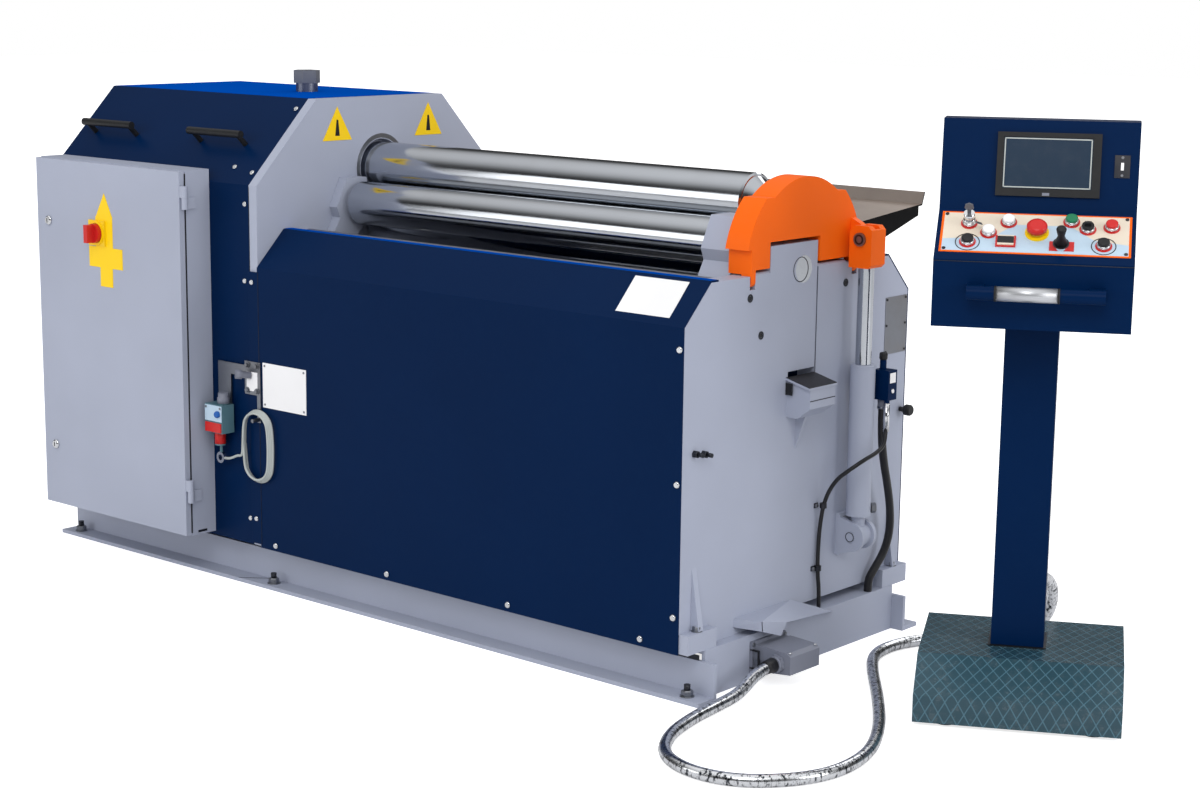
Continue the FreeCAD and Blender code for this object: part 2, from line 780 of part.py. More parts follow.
def switch_bracket():
    y0 = switch_back - bracket_sheet
    plate = box(bracket_x0, y0, 515.0, bracket_x1, switch_back, 602.0)
    arm = box(switch_x0 + 10.0, y0, 560.0, bracket_x0, switch_back, 590.0)
    drop = box(switch_x0 + 10.0, y0, switch_low + 10.0, switch_x1 - 10.0, switch_back, 560.0)
    strip = box(hook_x - 7.0, y0, hook_z - 8.0, hook_x + 6.0, switch_back, 515.0)
    hook = rod_y(coil_back - coil_depth - 4.0, y0, hook_x, hook_z, hook_radius)
    return fuse(plate, arm, drop, strip, hook)


# Switch body with its gland on top and, below, a stem that ends in the eye for the rope
def pull_switch():
    y1 = switch_back - bracket_sheet
    body = box(switch_x0, y1 - 40.0, switch_low, switch_x1, y1, switch_high)
    gland = rod_z(switch_high, switch_high + 30.0, switch_x1 - 18.0, y1 - 20.0, 13.0)
    stem = rod_z(eye_z + 34.0, switch_low, stem_x, switch_y - 3.0, 14.0)
    ring = rod_y(switch_y - 3.5, switch_y + 3.5, stem_x, eye_z, 14.5)
    ring = ring.cut(rod_y(switch_y - 4.0, switch_y + 4.0, stem_x, eye_z, 8.0))
    link = rod_z(eye_z + 10.0, eye_z + 34.0, stem_x, switch_y, 4.0)
    return fuse(body, gland, stem, ring, link)


def rope_coil():
    y0 = coil_back - coil_depth

    def loop(radius):
        low = coil_z - coil_straight
        high = coil_z + coil_straight
        sides = [
            Part.makeLine(V(hook_x + radius, y0, low), V(hook_x + radius, y0, high)),
            Part.Arc(V(hook_x + radius, y0, high), V(hook_x, y0, high + radius),
                     V(hook_x - radius, y0, high)).toShape(),
            Part.makeLine(V(hook_x - radius, y0, high), V(hook_x - radius, y0, low)),
            Part.Arc(V(hook_x - radius, y0, low), V(hook_x, y0, low - radius),
                     V(hook_x + radius, y0, low)).toShape(),
        ]
        return Part.Face(Part.Wire(sides)).extrude(V(0, coil_depth, 0))

    return loop(coil_half_width).cut(loop(coil_half_width - coil_band))


def console_place(shape):
    moved = shape.copy()
    moved.rotate(V(0, 0, 0), V(0, 0, 1), console_angle)
    moved.translate(V(console_x, console_y, 0))
    return moved


# Console pieces are drawn with X to the operator's right and Y to the back
foot_height = 8.0
base_half_width = 223.0
base_depth = 420.0
base_front_height = 68.0
base_high = 138.0
base_slope = 95.0
base_sheet = 6.0
base_lip = 70.0
column_u0 = -69.0
column_width = 116.0
column_front = 190.0
column_back = column_front + column_width
column_wall = 3.0
head_u0 = -217.0
head_u1 = 195.0
head_low = 881.0
head_depth = 320.0
head_sheet = 2.0
apron_height = 143.0
deck_front_z = head_low + apron_height
deck_back_y = 125.0
deck_rise = 93.0
deck_back_z = deck_front_z + deck_rise
panel_lean = 40.0
panel_rise = 190.0
panel_length = math.hypot(panel_lean, panel_rise)
screen_top_y = deck_back_y + panel_lean
head_high = deck_back_z + panel_rise
roof_slope_y = 80.0
roof_slope_z = 67.0


def console_base():
    t = base_sheet
    low = foot_height
    high = base_high
    far = base_depth
    profile = [(0.0, low), (0.0, base_front_height), (base_slope, high), (far, high), (far, low),
               (far - base_lip, low), (far - base_lip, low + t), (far - t, low + t), (far - t, high - t),
               (base_slope + 2.0, high - t), (t, base_front_height - 3.0), (t, low + t),
               (base_lip, low + t), (base_lip, low)]
    return console_place(along_x(profile, -base_half_width, base_half_width))


def console_feet():
    feet = []
    for x in (70.0 - base_half_width, base_half_width - 60.0):
        for y in (40.0, base_depth - 40.0):
            feet.append(console_place(rod_z(0.0, foot_height, x, y, 22.0)))
    return Part.makeCompound(feet)


def console_column():
    w = column_wall
    tube = box(column_u0, column_front, base_high, column_u0 + column_width, column_back, head_low)
    hollow = box(column_u0 + w, column_front + w, base_high - 1, column_u0 + column_width - w,
                 column_back - w, head_low + 1)
    return console_place(tube.cut(hollow))


def console_head():
    t = head_sheet
    back = head_depth
    profile = [(0.0, head_low), (0.0, deck_front_z), (deck_back_y, deck_back_z), (screen_top_y, head_high),
               (back - roof_slope_y, head_high), (back, head_high - roof_slope_z), (back, head_low)]
    lining = [(t, head_low + t), (t, deck_front_z - 1.0), (deck_back_y + 1.5, deck_back_z - 1.5),
              (screen_top_y + t, head_high - t), (back - roof_slope_y - 1.0, head_high - t),
              (back - t, head_high - roof_slope_z - 1.0), (back - t, head_low + t)]
    head = along_x(profile, head_u0, head_u1).cut(along_x(lining, head_u0 + t, head_u1 - t))
    return console_place(head)


# Places on the sloping deck: u to the right, s up the slope, h above its surface
deck_tilt = math.degrees(math.atan2(deck_rise, deck_back_y))
screen_tilt = math.degrees(math.atan2(panel_rise, panel_lean))


def on_slope(shape, tilt, y, z):
    moved = shape.copy()
    moved.rotate(V(0, 0, 0), V(1, 0, 0), tilt)
    moved.translate(V(0, y, z))
    return console_place(moved)


def on_deck(shape):
    return on_slope(shape, deck_tilt, 0.0, deck_front_z)


screen_u0 = -101.0
screen_u1 = 116.0
screen_s0 = 31.0
screen_top_margin = 27.165
screen_s1 = panel_length - screen_top_margin
screen_sheet = 6.0


def console_screen():
    bezel = box(screen_u0, screen_s0, 0.0, screen_u1, screen_s1, screen_sheet)
    recess = box(screen_u0 + 13.0, screen_s0 + 16.0, screen_sheet - 2.0, screen_u1 - 17.0,
                 screen_s1 - 10.0, screen_sheet + 1)
    return on_slope(bezel.cut(recess), screen_tilt, deck_back_y, deck_back_z)


# Controls on the deck: push buttons with collars, an emergency stop and a joystick
button_places = [
    (-150.0, 109.0), (-68.0, 116.0), (-108.0, 82.0), (-150.0, 52.0), (62.0, 123.0), (96.0, 102.0),
    (145.0, 110.0), (130.0, 53.0),
]
collar_radius = 14.5
button_radius = 11.0
stop_place = (-8.0, 86.0)
stick_place = (43.0, 50.0)


def push_button(u, s):
    collar = rod_z(0.0, 6.0, u, s, collar_radius)
    return fuse(collar, rod_z(5.0, 13.0, u, s, button_radius))


def emergency_stop(u, s):
    stem = rod_z(0.0, 16.0, u, s, 15.0)
    cap = rod_z(15.0, 23.0, u, s, 21.0)
    return fuse(stem, cap, Part.makeCone(21.0, 15.0, 5.0, V(u, s, 23.0), V(0, 0, 1)))


def joystick(u, s):
    base = rod_z(0.0, 8.0, u, s, 17.0)
    boot = Part.makeCone(14.0, 6.0, 22.0, V(u, s, 7.0), V(0, 0, 1))
    return fuse(base, boot, Part.makeCone(6.0, 10.0, 20.0, V(u, s, 29.0), V(0, 0, 1)))


def console_buttons():
    controls = [push_button(u, s) for u, s in button_places]
    controls += [emergency_stop(*stop_place), joystick(*stick_place)]
    return Part.makeCompound([on_deck(c) for c in controls])


handle_z = head_low + 80.0
handle_out = 46.0
handle_u0 = -143.0
handle_u1 = 140.0
handle_post = 34.0


def console_handle():
    posts = []
    for u in (handle_u0, handle_u1 - handle_post):
        posts.append(box(u, -handle_out, handle_z - 13.0, u + handle_post, 0.0, handle_z + 13.0))
    grip = rod_x(handle_u0, handle_u1, -handle_out, handle_z, 15.0)
    return console_place(fuse(grip, *posts))


def local_point(u, b, z):
    a = math.radians(console_angle)
    return V(console_x + u * math.cos(a) - b * math.sin(a),
             console_y + u * math.sin(a) + b * math.cos(a), z)


# Control cable from the connector along the floor to the back of the console's column
cable_radius = 14.0
on_floor = cable_radius + 0.5
cable_route = [
    V(gland_x, gland_front - 0.3, gland_z),
    V(gland_x, gland_front - 55.0, gland_z),
    V(gland_x + 2.0, gland_front - 125.0, on_floor + 6.0),
    V(1208.0, -430.0, on_floor),
    V(1222.0, -545.0, on_floor),
    V(1255.0, -665.0, on_floor),
    V(1325.0, -768.0, on_floor),
    V(1440.0, -806.0, on_floor),
    V(1555.0, -768.0, on_floor),
    V(1645.0, -640.0, on_floor),
    V(1640.0, -480.0, on_floor),
    V(1560.0, -315.0, on_floor),
    V(1430.0, -130.0, on_floor),
    V(1318.0, 15.0, on_floor),
    V(1250.0, 118.0, on_floor),
    V(1238.0, 218.0, on_floor),
    V(1270.0, 312.0, on_floor),
    local_point(-150.0, 640.0, on_floor),
    local_point(-40.0, 640.0, on_floor),
    local_point(46.0, 618.0, 81.0),
    local_point(63.0, 568.0, 178.0),
    local_point(30.0, 479.0, 236.0),
    local_point(30.0, column_back + 0.3, 236.0),
]

# Thin hose round the barrel and down the end plate to the beam
thin_hose_route = [
    V(thin_fitting[0], thin_fitting[1], thin_fitting[2] - 0.3),
    V(thin_fitting[0], thin_fitting[1], 531.0),
    V(1199.0, 212.0, 503.0),
    V(1205.0, 170.0, 491.0),
    V(1205.0, 128.0, 484.0),
    V(1186.0, 94.0, 462.0),
    V(1148.0, 86.0, 430.0),
    V(1119.0, 86.0, 378.0),
    V(1110.0, 83.0, 315.0),
    V(1109.0, 80.0, 250.0),
    V(1110.0, 80.0, 195.0),
    V(1113.0, 84.0, 155.0),
    V(1113.0, 84.0, beam_height + 0.3),
]

# Thick hose behind the barrel, in a bow down to the beam
thick_hose_route = [
    V(thick_fitting[0], thick_fitting[1], thick_fitting[2] - 0.3),
    V(thick_fitting[0], thick_fitting[1], 520.0),
    V(1161.0, 270.0, 450.0),
    V(1154.0, 302.0, 385.0),
    V(1147.0, 328.0, 325.0),
    V(1140.0, 343.0, 262.0),
    V(1132.0, 334.0, 208.0),
    V(1121.0, 300.0, 160.0),
    V(1117.0, 288.0, 140.0),
    V(1117.0, 288.0, beam_height + 0.3),
]

# Pull rope from the switch's eye to the coil on the hook
rope_radius = 3.5
rope_end_x = hook_x - coil_half_width
rope_end_z = coil_z - 34.0
rope_route = [
    V(stem_x + 14.8, switch_y, eye_z),
    V(stem_x + 34.0, switch_y, eye_z),
    V(rope_end_x - 19.0, switch_y, rope_end_z),
    V(rope_end_x - 0.3, switch_y, rope_end_z),
]


# Straight runs joined by tangent arcs, each as large as its two runs allow
def cord_path(route, label):
    edges = []
    here = route[0]
    radii = []
    for before, point, after in zip(route[:-2], route[1:-1], route[2:]):
        come = point - before
        leave = after - point
        reach = 0.48 * min(come.Length, leave.Length)
        come.normalize()
        leave.normalize()
        turn = come.getAngle(leave)
        radius = reach / math.tan(turn / 2)
        start = point - come * reach
        end = point + leave * reach
        inward = (leave - come).normalize()
        middle = point + inward * (radius / math.cos(turn / 2) - radius)
        edges.append(Part.makeLine(here, start))
        edges.append(Part.Arc(start, middle, end).toShape())
        radii.append(round(radius))
        here = end
    edges.append(Part.makeLine(here, route[-1]))
    print(label, "radii", radii)
    return Part.Wire(edges)


def cord_tube(route, radius, label):
    path = cord_path(route, label)
    circle = Part.Wire(Part.makeCircle(radius, route[0], route[1] - route[0]))
    tube = path.makePipeShell([circle], True, False)
    full = math.pi * radius * radius * path.Length
    print(label, "length", round(path.Length), "volume ratio", round(tube.Volume / full, 3))
    return tube


side = side_block(left_head[0], left_head[1], left_tongue[0], left_tongue[1])
side_right = side_block(right_head[0], right_head[1], right_tongue[0], right_tongue[1])
roll = side_roll()
rail = base_rail()
cover = front_cover()
foot_block = plate_foot()

nodes = {
    "front_base_rail": rail,
    "rear_base_rail": mirrored(rail),
    "right_end_beam": cross_beam(beam_outer_x, 1),
    "left_end_beam": cross_beam(-beam_outer_x, -1),
    "middle_cross_beam": cross_beam(left_plate_inner + 30.0, 1),
    "right_end_plate": right_end_plate(),
    "left_frame_plate": left_frame_plate(),
    "front_plate_foot": foot_block,
    "rear_plate_foot": mirrored(foot_block),
    "drive_hood": drive_hood(),
    "hood_handles": Part.makeCompound([hood_handle(x) for x in handle_places]),
    "hood_lifting_bolt": hood_lifting_bolt(),
    "front_cover": cover,
    "rear_cover": mirrored(cover),
    "cabinet_body": cabinet_body(),
    "cabinet_hinges": body_hinges(),
    "cabinet_door": cabinet_door(),
    "isolator_plate": isolator_plate(),
    "isolator_knob": isolator_knob(),
    "top_roll": top_roll(),
    "top_roll_bearing": top_roll_bearing(),
    "bottom_roll": bottom_roll(),
    "bottom_block_left": bottom_block(left_plate_outer + 2.0, left_plate_inner - 1.0),
    "bottom_block_right": bottom_block(right_plate_inner + 1.0, right_plate_outer - 1.0),
    "front_side_roll": roll,
    "front_block_left": side,
    "front_block_right": side_right,
    "rear_side_roll": mirrored(roll),
    "rear_block_left": mirrored(side),
    "rear_block_right": mirrored(side_right),
    "torsion_shaft": torsion_shaft(),
    "drop_end_yoke": drop_end_yoke(),
    "yoke_hinge_pin": yoke_hinge_pin(),
    "yoke_lug_pin": lug_pin(),
    "cylinder_barrel": cylinder_barrel(),
    "cylinder_rod": cylinder_rod(),
    "rod_clevis": rod_clevis(),
    "cylinder_foot": cylinder_foot(),
    "cylinder_foot_pin": foot_pin(),
    "valve_block": valve_block(),
    "lift_cylinder_box": lift_cylinder_box(),
    "rear_table": rear_table(),
    "connector_housing": connector_housing(),
    "connector_hood": connector_hood(),
    "cable_gland": cable_gland(),
    "switch_bracket": switch_bracket(),
    "pull_switch": pull_switch(),
    "rope_coil": rope_coil(),
    "console_base": console_base(),
    "console_feet": console_feet(),
    "console_column": console_column(),
    "console_head": console_head(),
    "console_screen": console_screen(),
    "console_buttons": console_buttons(),
    "console_handle": console_handle(),
    "control_cable": cord_tube(cable_route, cable_radius, "control_cable"),
    "thin_hose": cord_tube(thin_hose_route, thin_hose_radius, "thin_hose"),
    "thick_hose": cord_tube(thick_hose_route, thick_hose_radius, "thick_hose"),
    "pull_rope": cord_tube(rope_route, rope_radius, "pull_rope"),
}

os.makedirs("parts", exist_ok=True)
for name, shape in nodes.items():
    shape.exportStep("parts/" + name + ".step")
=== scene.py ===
import json
import math

import bmesh
import bpy
from bpy.props import FloatProperty, FloatVectorProperty, PointerProperty
from mathutils import Matrix, Vector


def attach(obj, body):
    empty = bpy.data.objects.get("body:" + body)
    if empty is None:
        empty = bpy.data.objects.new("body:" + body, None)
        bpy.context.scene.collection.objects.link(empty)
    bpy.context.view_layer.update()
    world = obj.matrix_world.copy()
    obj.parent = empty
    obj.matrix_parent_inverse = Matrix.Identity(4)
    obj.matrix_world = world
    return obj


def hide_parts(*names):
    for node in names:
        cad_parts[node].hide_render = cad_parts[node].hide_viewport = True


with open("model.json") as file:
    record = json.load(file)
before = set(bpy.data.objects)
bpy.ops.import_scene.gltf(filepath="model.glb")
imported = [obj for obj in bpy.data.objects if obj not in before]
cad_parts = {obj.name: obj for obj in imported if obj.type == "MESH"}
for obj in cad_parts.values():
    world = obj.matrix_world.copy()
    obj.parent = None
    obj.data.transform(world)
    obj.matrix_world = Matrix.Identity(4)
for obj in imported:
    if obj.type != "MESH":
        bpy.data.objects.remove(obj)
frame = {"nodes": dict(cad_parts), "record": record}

bl_info = {
    "name": "Four roll plate rolling machine",
    "version": (1, 0, 0),
    "blender": (4, 5, 0),
    "location": "3D View > Sidebar > Rolling machine",
    "description": "Dresses the packed rolling machine with its finishes, fittings and studio",
    "category": "Object",
}


MM = 0.001

# The console stands turned on the floor, and its pieces are placed from its front's middle
CONSOLE_TURN = math.radians(28.1)
CONSOLE_PLACE = (1772.5, -110.6)

# Faces that the fittings sit on, in millimetres
COVER_FACE = -444.0
HOOD_FACE = -440.0
CABINET_FACE = -538.0
PLATE_FACE = 1102.0
LEFT_PLATE_INNER = -298.0
SWITCH_FACE = -488.0
BRACKET_FACE = -448.0
TOP_ROLL_HEIGHT = 1082
CYLINDER_X = 1146

# Relief of the finishes in metres
FINE_RELIEF = 0.0005
RIDGE_HEIGHT = 0.0015


# Colours and finishes

def from_screen(*rgb):
    """A colour read as 0 to 255 screen values, as the linear values that a shader takes."""
    linear = []
    for value in rgb:
        c = value / 255
        linear.append(c / 12.92 if c <= 0.04045 else ((c + 0.055) / 1.055) ** 2.4)
    return tuple(linear)


class FinishSizes(bpy.types.PropertyGroup):
    grey: FloatVectorProperty(name="Grey paint", description="Frame and base paint",
                              subtype="COLOR", default=from_screen(164, 170, 188))
    navy: FloatVectorProperty(name="Navy paint", description="Housing, cabinet and cover paint",
                              subtype="COLOR", default=from_screen(0, 29, 67))
    orange: FloatVectorProperty(name="Orange paint", description="Drop end yoke and console paint",
                                subtype="COLOR", default=from_screen(246, 103, 15))
    # painted highlight: the paler blue of the thin layers on the tops of hood and front cover
    top_highlight_blue: FloatVectorProperty(name="Blue paint", description="Lip of the front cover",
                                     subtype="COLOR", default=from_screen(0, 70, 165))


class StudioSizes(bpy.types.PropertyGroup):
    camera_place: FloatVectorProperty(name="Camera place", description="Where the camera stands",
                                      subtype="TRANSLATION", unit="LENGTH",
                                      default=(4.10147, -4.23128, 1.60458))
    camera_turn: FloatProperty(name="Camera turn", description="Camera's angle round the machine",
                               subtype="ANGLE", default=0.70694)
    camera_pitch: FloatProperty(name="Camera pitch", description="How far the camera looks down",
                                subtype="ANGLE", default=0.18932)
    camera_roll: FloatProperty(name="Camera roll", description="How far the camera is tipped sideways",
                               subtype="ANGLE", default=0.01259)
    lens: FloatProperty(name="Lens", description="Focal length in millimetres", default=67.6)
    floor_reach: FloatProperty(name="Floor reach", description="Half the floor's width",
                               subtype="DISTANCE", unit="LENGTH", default=30.0)


def finish_sizes():
    return bpy.context.scene.machine_finish


def studio_sizes():
    return bpy.context.scene.machine_studio


# Shader node helpers

def new_group(name, inputs, outputs):
    group = bpy.data.node_groups.new(name, "ShaderNodeTree")
    for label, kind, value in inputs:
        socket = group.interface.new_socket(label, in_out="INPUT", socket_type=kind)
        socket.default_value = value
    for label, kind in outputs:
        group.interface.new_socket(label, in_out="OUTPUT", socket_type=kind)
    start = group.nodes.new("NodeGroupInput")
    end = group.nodes.new("NodeGroupOutput")
    return group, start, end


def add_node(tree, kind, **settings):
    node = tree.nodes.new(kind)
    for key, value in settings.items():
        setattr(node, key, value)
    return node


def set_inputs(node, **values):
    for key, value in values.items():
        node.inputs[key.replace("_", " ")].default_value = value


def join(tree, source, output, target, socket):
    tree.links.new(source.outputs[output], target.inputs[socket])


def mix_colour(tree):
    return add_node(tree, "ShaderNodeMix", data_type="RGBA")


def paint_group():
    """Sprayed paint: a slow drift of tone, fine dust and a faint orange peel."""
    name = "sprayed_paint"
    if name in bpy.data.node_groups:
        return bpy.data.node_groups[name]
    tree, start, end = new_group(
        name,
        [("Colour", "NodeSocketColor", (0.5, 0.5, 0.5, 1)),
         ("Dust", "NodeSocketColor", (0.4, 0.38, 0.35, 1)),
         ("Drift", "NodeSocketFloat", 0.06),
         ("Dusting", "NodeSocketFloat", 0.08),
         ("Gloss", "NodeSocketFloat", 0.35)],
        [("Colour", "NodeSocketColor"), ("Roughness", "NodeSocketFloat"),
         ("Height", "NodeSocketFloat")])
    place = add_node(tree, "ShaderNodeTexCoord")
    slow = add_node(tree, "ShaderNodeTexNoise")
    set_inputs(slow, Scale=2.2, Detail=3.0, Roughness=0.55)
    fine = add_node(tree, "ShaderNodeTexNoise")
    set_inputs(fine, Scale=38.0, Detail=6.0, Roughness=0.7)
    peel = add_node(tree, "ShaderNodeTexNoise")
    set_inputs(peel, Scale=420.0, Detail=2.0)
    for texture in (slow, fine, peel):
        join(tree, place, "Object", texture, "Vector")
    swing = add_node(tree, "ShaderNodeMapRange")
    set_inputs(swing, From_Min=0.3, From_Max=0.7, To_Min=-1.0, To_Max=1.0)
    join(tree, slow, "Fac", swing, "Value")
    amount = add_node(tree, "ShaderNodeMath", operation="MULTIPLY_ADD")
    amount.inputs[2].default_value = 1.0
    join(tree, swing, "Result", amount, 0)
    join(tree, start, "Drift", amount, 1)
    toned = add_node(tree, "ShaderNodeVectorMath", operation="SCALE")
    join(tree, start, "Colour", toned, 0)
    join(tree, amount, 0, toned, "Scale")
    specks = add_node(tree, "ShaderNodeMapRange")
    set_inputs(specks, From_Min=0.5, From_Max=0.85)
    join(tree, fine, "Fac", specks, "Value")
    dusting = add_node(tree, "ShaderNodeMath", operation="MULTIPLY")
    join(tree, specks, "Result", dusting, 0)
    join(tree, start, "Dusting", dusting, 1)
    dusted = mix_colour(tree)
    join(tree, dusting, 0, dusted, "Factor")
    join(tree, toned, "Vector", dusted, "A")
    join(tree, start, "Dust", dusted, "B")
    join(tree, dusted, "Result", end, "Colour")
    rough = add_node(tree, "ShaderNodeMath", operation="MULTIPLY_ADD")
    rough.inputs[1].default_value = 0.12
    join(tree, fine, "Fac", rough, 0)
    join(tree, start, "Gloss", rough, 2)
    join(tree, rough, 0, end, "Roughness")
    join(tree, peel, "Fac", end, "Height")
    return tree


def grain_group():
    """Turned, ground or drawn metal: long fine scratches along one direction."""
    name = "worked_metal"
    if name in bpy.data.node_groups:
        return bpy.data.node_groups[name]
    tree, start, end = new_group(
        name,
        [("Colour", "NodeSocketColor", (0.6, 0.6, 0.62, 1)),
         ("Stain", "NodeSocketColor", (0.25, 0.22, 0.2, 1)),
         ("Stretch", "NodeSocketVector", (60.0, 4.0, 4.0)),
         ("Staining", "NodeSocketFloat", 0.15),
         ("Gloss", "NodeSocketFloat", 0.22)],
        [("Colour", "NodeSocketColor"), ("Roughness", "NodeSocketFloat"),
         ("Height", "NodeSocketFloat")])
    place = add_node(tree, "ShaderNodeTexCoord")
    stretch = add_node(tree, "ShaderNodeVectorMath", operation="MULTIPLY")
    join(tree, place, "Object", stretch, 0)
    join(tree, start, "Stretch", stretch, 1)
    lines = add_node(tree, "ShaderNodeTexNoise")
    set_inputs(lines, Scale=6.0, Detail=5.0, Roughness=0.6)
    join(tree, stretch, "Vector", lines, "Vector")
    cloud = add_node(tree, "ShaderNodeTexNoise")
    set_inputs(cloud, Scale=5.0, Detail=4.0, Roughness=0.6)
    join(tree, place, "Object", cloud, "Vector")
    stained = add_node(tree, "ShaderNodeMapRange")
    set_inputs(stained, From_Min=0.52, From_Max=0.78)
    join(tree, cloud, "Fac", stained, "Value")
    amount = add_node(tree, "ShaderNodeMath", operation="MULTIPLY")
    join(tree, stained, "Result", amount, 0)
    join(tree, start, "Staining", amount, 1)
    mixed = mix_colour(tree)
    join(tree, amount, 0, mixed, "Factor")
    join(tree, start, "Colour", mixed, "A")
    join(tree, start, "Stain", mixed, "B")
    join(tree, mixed, "Result", end, "Colour")
    rough = add_node(tree, "ShaderNodeMath", operation="MULTIPLY_ADD")
    rough.inputs[1].default_value = 0.22
    join(tree, lines, "Fac", rough, 0)
    join(tree, start, "Gloss", rough, 2)
    join(tree, rough, 0, end, "Roughness")
    join(tree, lines, "Fac", end, "Height")
    return tree


def new_material(name):
    material = bpy.data.materials.new(name)
    material.use_nodes = True
    tree = material.node_tree
    shader = tree.nodes["Principled BSDF"]
    return material, tree, shader


def finished(name, group, values, metallic=0.0, bump=0.02, coat=0.0, shine=0.5):
    """A material whose colour, roughness and height come from one of the shared groups."""
    material, tree, shader = new_material(name + "_finish")
    effect = add_node(tree, "ShaderNodeGroup", node_tree=group)
    for key, value in values.items():
        effect.inputs[key].default_value = value
    join(tree, effect, "Colour", shader, "Base Color")
    join(tree, effect, "Roughness", shader, "Roughness")
    shader.inputs["Metallic"].default_value = metallic
    shader.inputs["Specular IOR Level"].default_value = shine
    shader.inputs["Coat Weight"].default_value = coat
    shader.inputs["Coat Roughness"].default_value = 0.15
    raised = add_node(tree, "ShaderNodeBump")
    set_inputs(raised, Strength=bump, Distance=FINE_RELIEF)
    join(tree, effect, "Height", raised, "Height")
    join(tree, raised, "Normal", shader, "Normal")
    return material


def paint(name, colour, gloss=0.32, drift=0.05, dusting=0.04, coat=0.0, shine=0.3,
          dust=(0.4, 0.38, 0.35)):
    values = {"Colour": (*colour, 1), "Dust": (*dust, 1), "Drift": drift, "Dusting": dusting,
              "Gloss": gloss}
    return finished(name, paint_group(), values, bump=0.05, coat=coat, shine=shine)


def metal(name, colour, stretch, staining=0.15, gloss=0.2, bump=0.05):
    values = {"Colour": (*colour, 1), "Stretch": stretch, "Staining": staining, "Gloss": gloss}
    return finished(name, grain_group(), values, metallic=1.0, bump=bump)


def plastic(name, colour, gloss=0.4):
    return paint(name, colour, gloss=gloss, drift=0.03, dusting=0.02, shine=0.4)


FINISHES = {
    "grey_paint": lambda name: paint(name, finish_sizes().grey, gloss=0.38),
    "navy_paint": lambda name: paint(name, finish_sizes().navy, gloss=0.3, dusting=0.2,
                                     shine=0.05, dust=(0.003, 0.02, 0.07)),
    # blue_paint is a painted highlight, the paler blue of the hood's and front cover's tops
    "blue_paint": lambda name: paint(name, finish_sizes().top_highlight_blue, gloss=0.4, dusting=0.01,
                                     shine=0.0),
    "orange_paint": lambda name: paint(name, finish_sizes().orange, gloss=0.4, dusting=0.02,
                                       shine=0.1),
    "ground_steel": lambda name: metal(name, from_screen(186, 190, 196), (0.6, 14.0, 14.0),
                                       staining=0.1, gloss=0.02, bump=0.02),
    "oiled_steel": lambda name: metal(name, from_screen(140, 143, 150), (8.0, 8.0, 8.0),
                                      staining=0.4, gloss=0.3),
    "dark_steel": lambda name: metal(name, from_screen(62, 64, 70), (8.0, 8.0, 8.0),
                                     staining=0.3, gloss=0.35),
    "black_plastic": lambda name: plastic(name, from_screen(22, 23, 26)),
    "grey_plastic": lambda name: plastic(name, from_screen(120, 124, 138)),
    "red_plastic": lambda name: plastic(name, from_screen(200, 32, 30), gloss=0.25),
    "yellow_plastic": lambda name: plastic(name, from_screen(240, 200, 20), gloss=0.3),
    # cable_jacket: bright braid wire with dark streaks of painted shade between the wires
    "cable_jacket": lambda name: braided(name, from_screen(226, 228, 232), from_screen(40, 46, 54)),
    "hose_rubber": lambda name: plastic(name, from_screen(26, 26, 30), gloss=0.35),
    # chequer_steel: teal paint with a painted highlight on its ridges
    "chequer_steel": lambda name: tread_plate(name, from_screen(38, 68, 80)),
    "rope_jacket": lambda name: plastic(name, from_screen(176, 182, 180), gloss=0.25),
    "white_paint": lambda name: paint(name, from_screen(240, 240, 242), gloss=0.35),
    "yellow_paint": lambda name: paint(name, from_screen(250, 208, 0), gloss=0.3),
    "beige_film": lambda name: plastic(name, from_screen(226, 214, 196), gloss=0.35),
    "pale_blue_film": lambda name: plastic(name, from_screen(186, 208, 226), gloss=0.35),
    "screen_glass": lambda name: plastic(name, from_screen(38, 54, 72), gloss=0.12),
    "bright_chrome": lambda name: metal(name, from_screen(225, 227, 230), (6.0, 6.0, 6.0),
                                        staining=0.05, gloss=0.08),
    "blue_plastic": lambda name: plastic(name, from_screen(20, 90, 170), gloss=0.3),
    "table_steel": lambda name: dark_ended(name, from_screen(172, 160, 152)),
    "switch_casting": lambda name: paint(name, from_screen(84, 118, 130), gloss=0.3),
    "satin_steel": lambda name: metal(name, from_screen(206, 208, 212), (8.0, 8.0, 8.0),
                                      staining=0.1, gloss=0.32),
    "green_plastic": lambda name: plastic(name, from_screen(20, 120, 80), gloss=0.3),
}


def finish_named(name):
    """The material of one finish, made when it is first asked for."""
    return bpy.data.materials.get(name + "_finish") or FINISHES[name](name)


def tread_group():
    """Chequer plate: crossing raised ridges that leave long diamonds between them."""
    name = "tread_ridges"
    if name in bpy.data.node_groups:
        return bpy.data.node_groups[name]
    tree, start, end = new_group(
        name,
        [("Turn", "NodeSocketFloat", 0.0), ("Width", "NodeSocketFloat", 0.028),
         ("Length", "NodeSocketFloat", 0.05)],
        [("Height", "NodeSocketFloat")])
    place = add_node(tree, "ShaderNodeTexCoord")
    turned = add_node(tree, "ShaderNodeVectorRotate", rotation_type="Z_AXIS")
    join(tree, place, "Object", turned, "Vector")
    join(tree, start, "Turn", turned, "Angle")
    parts = add_node(tree, "ShaderNodeSeparateXYZ")
    join(tree, turned, "Vector", parts, 0)

    def math_node(operation, first, second):
        node = add_node(tree, "ShaderNodeMath", operation=operation)
        for socket, value in zip(node.inputs, (first, second)):
            if isinstance(value, float):
                socket.default_value = value
            else:
                tree.links.new(value, socket)
        return node.outputs[0]

    across = math_node("DIVIDE", parts.outputs["X"], start.outputs["Width"])
    run = math_node("ADD", parts.outputs["Y"], parts.outputs["Z"])
    along = math_node("DIVIDE", run, start.outputs["Length"])
    ridges = []
    for operation in ("ADD", "SUBTRACT"):
        phase = math_node(operation, across, along)
        ridges.append(math_node("LESS_THAN", math_node("PINGPONG", phase, 0.5), 0.05))
    tree.links.new(math_node("MAXIMUM", *ridges), end.inputs["Height"])
    return tree


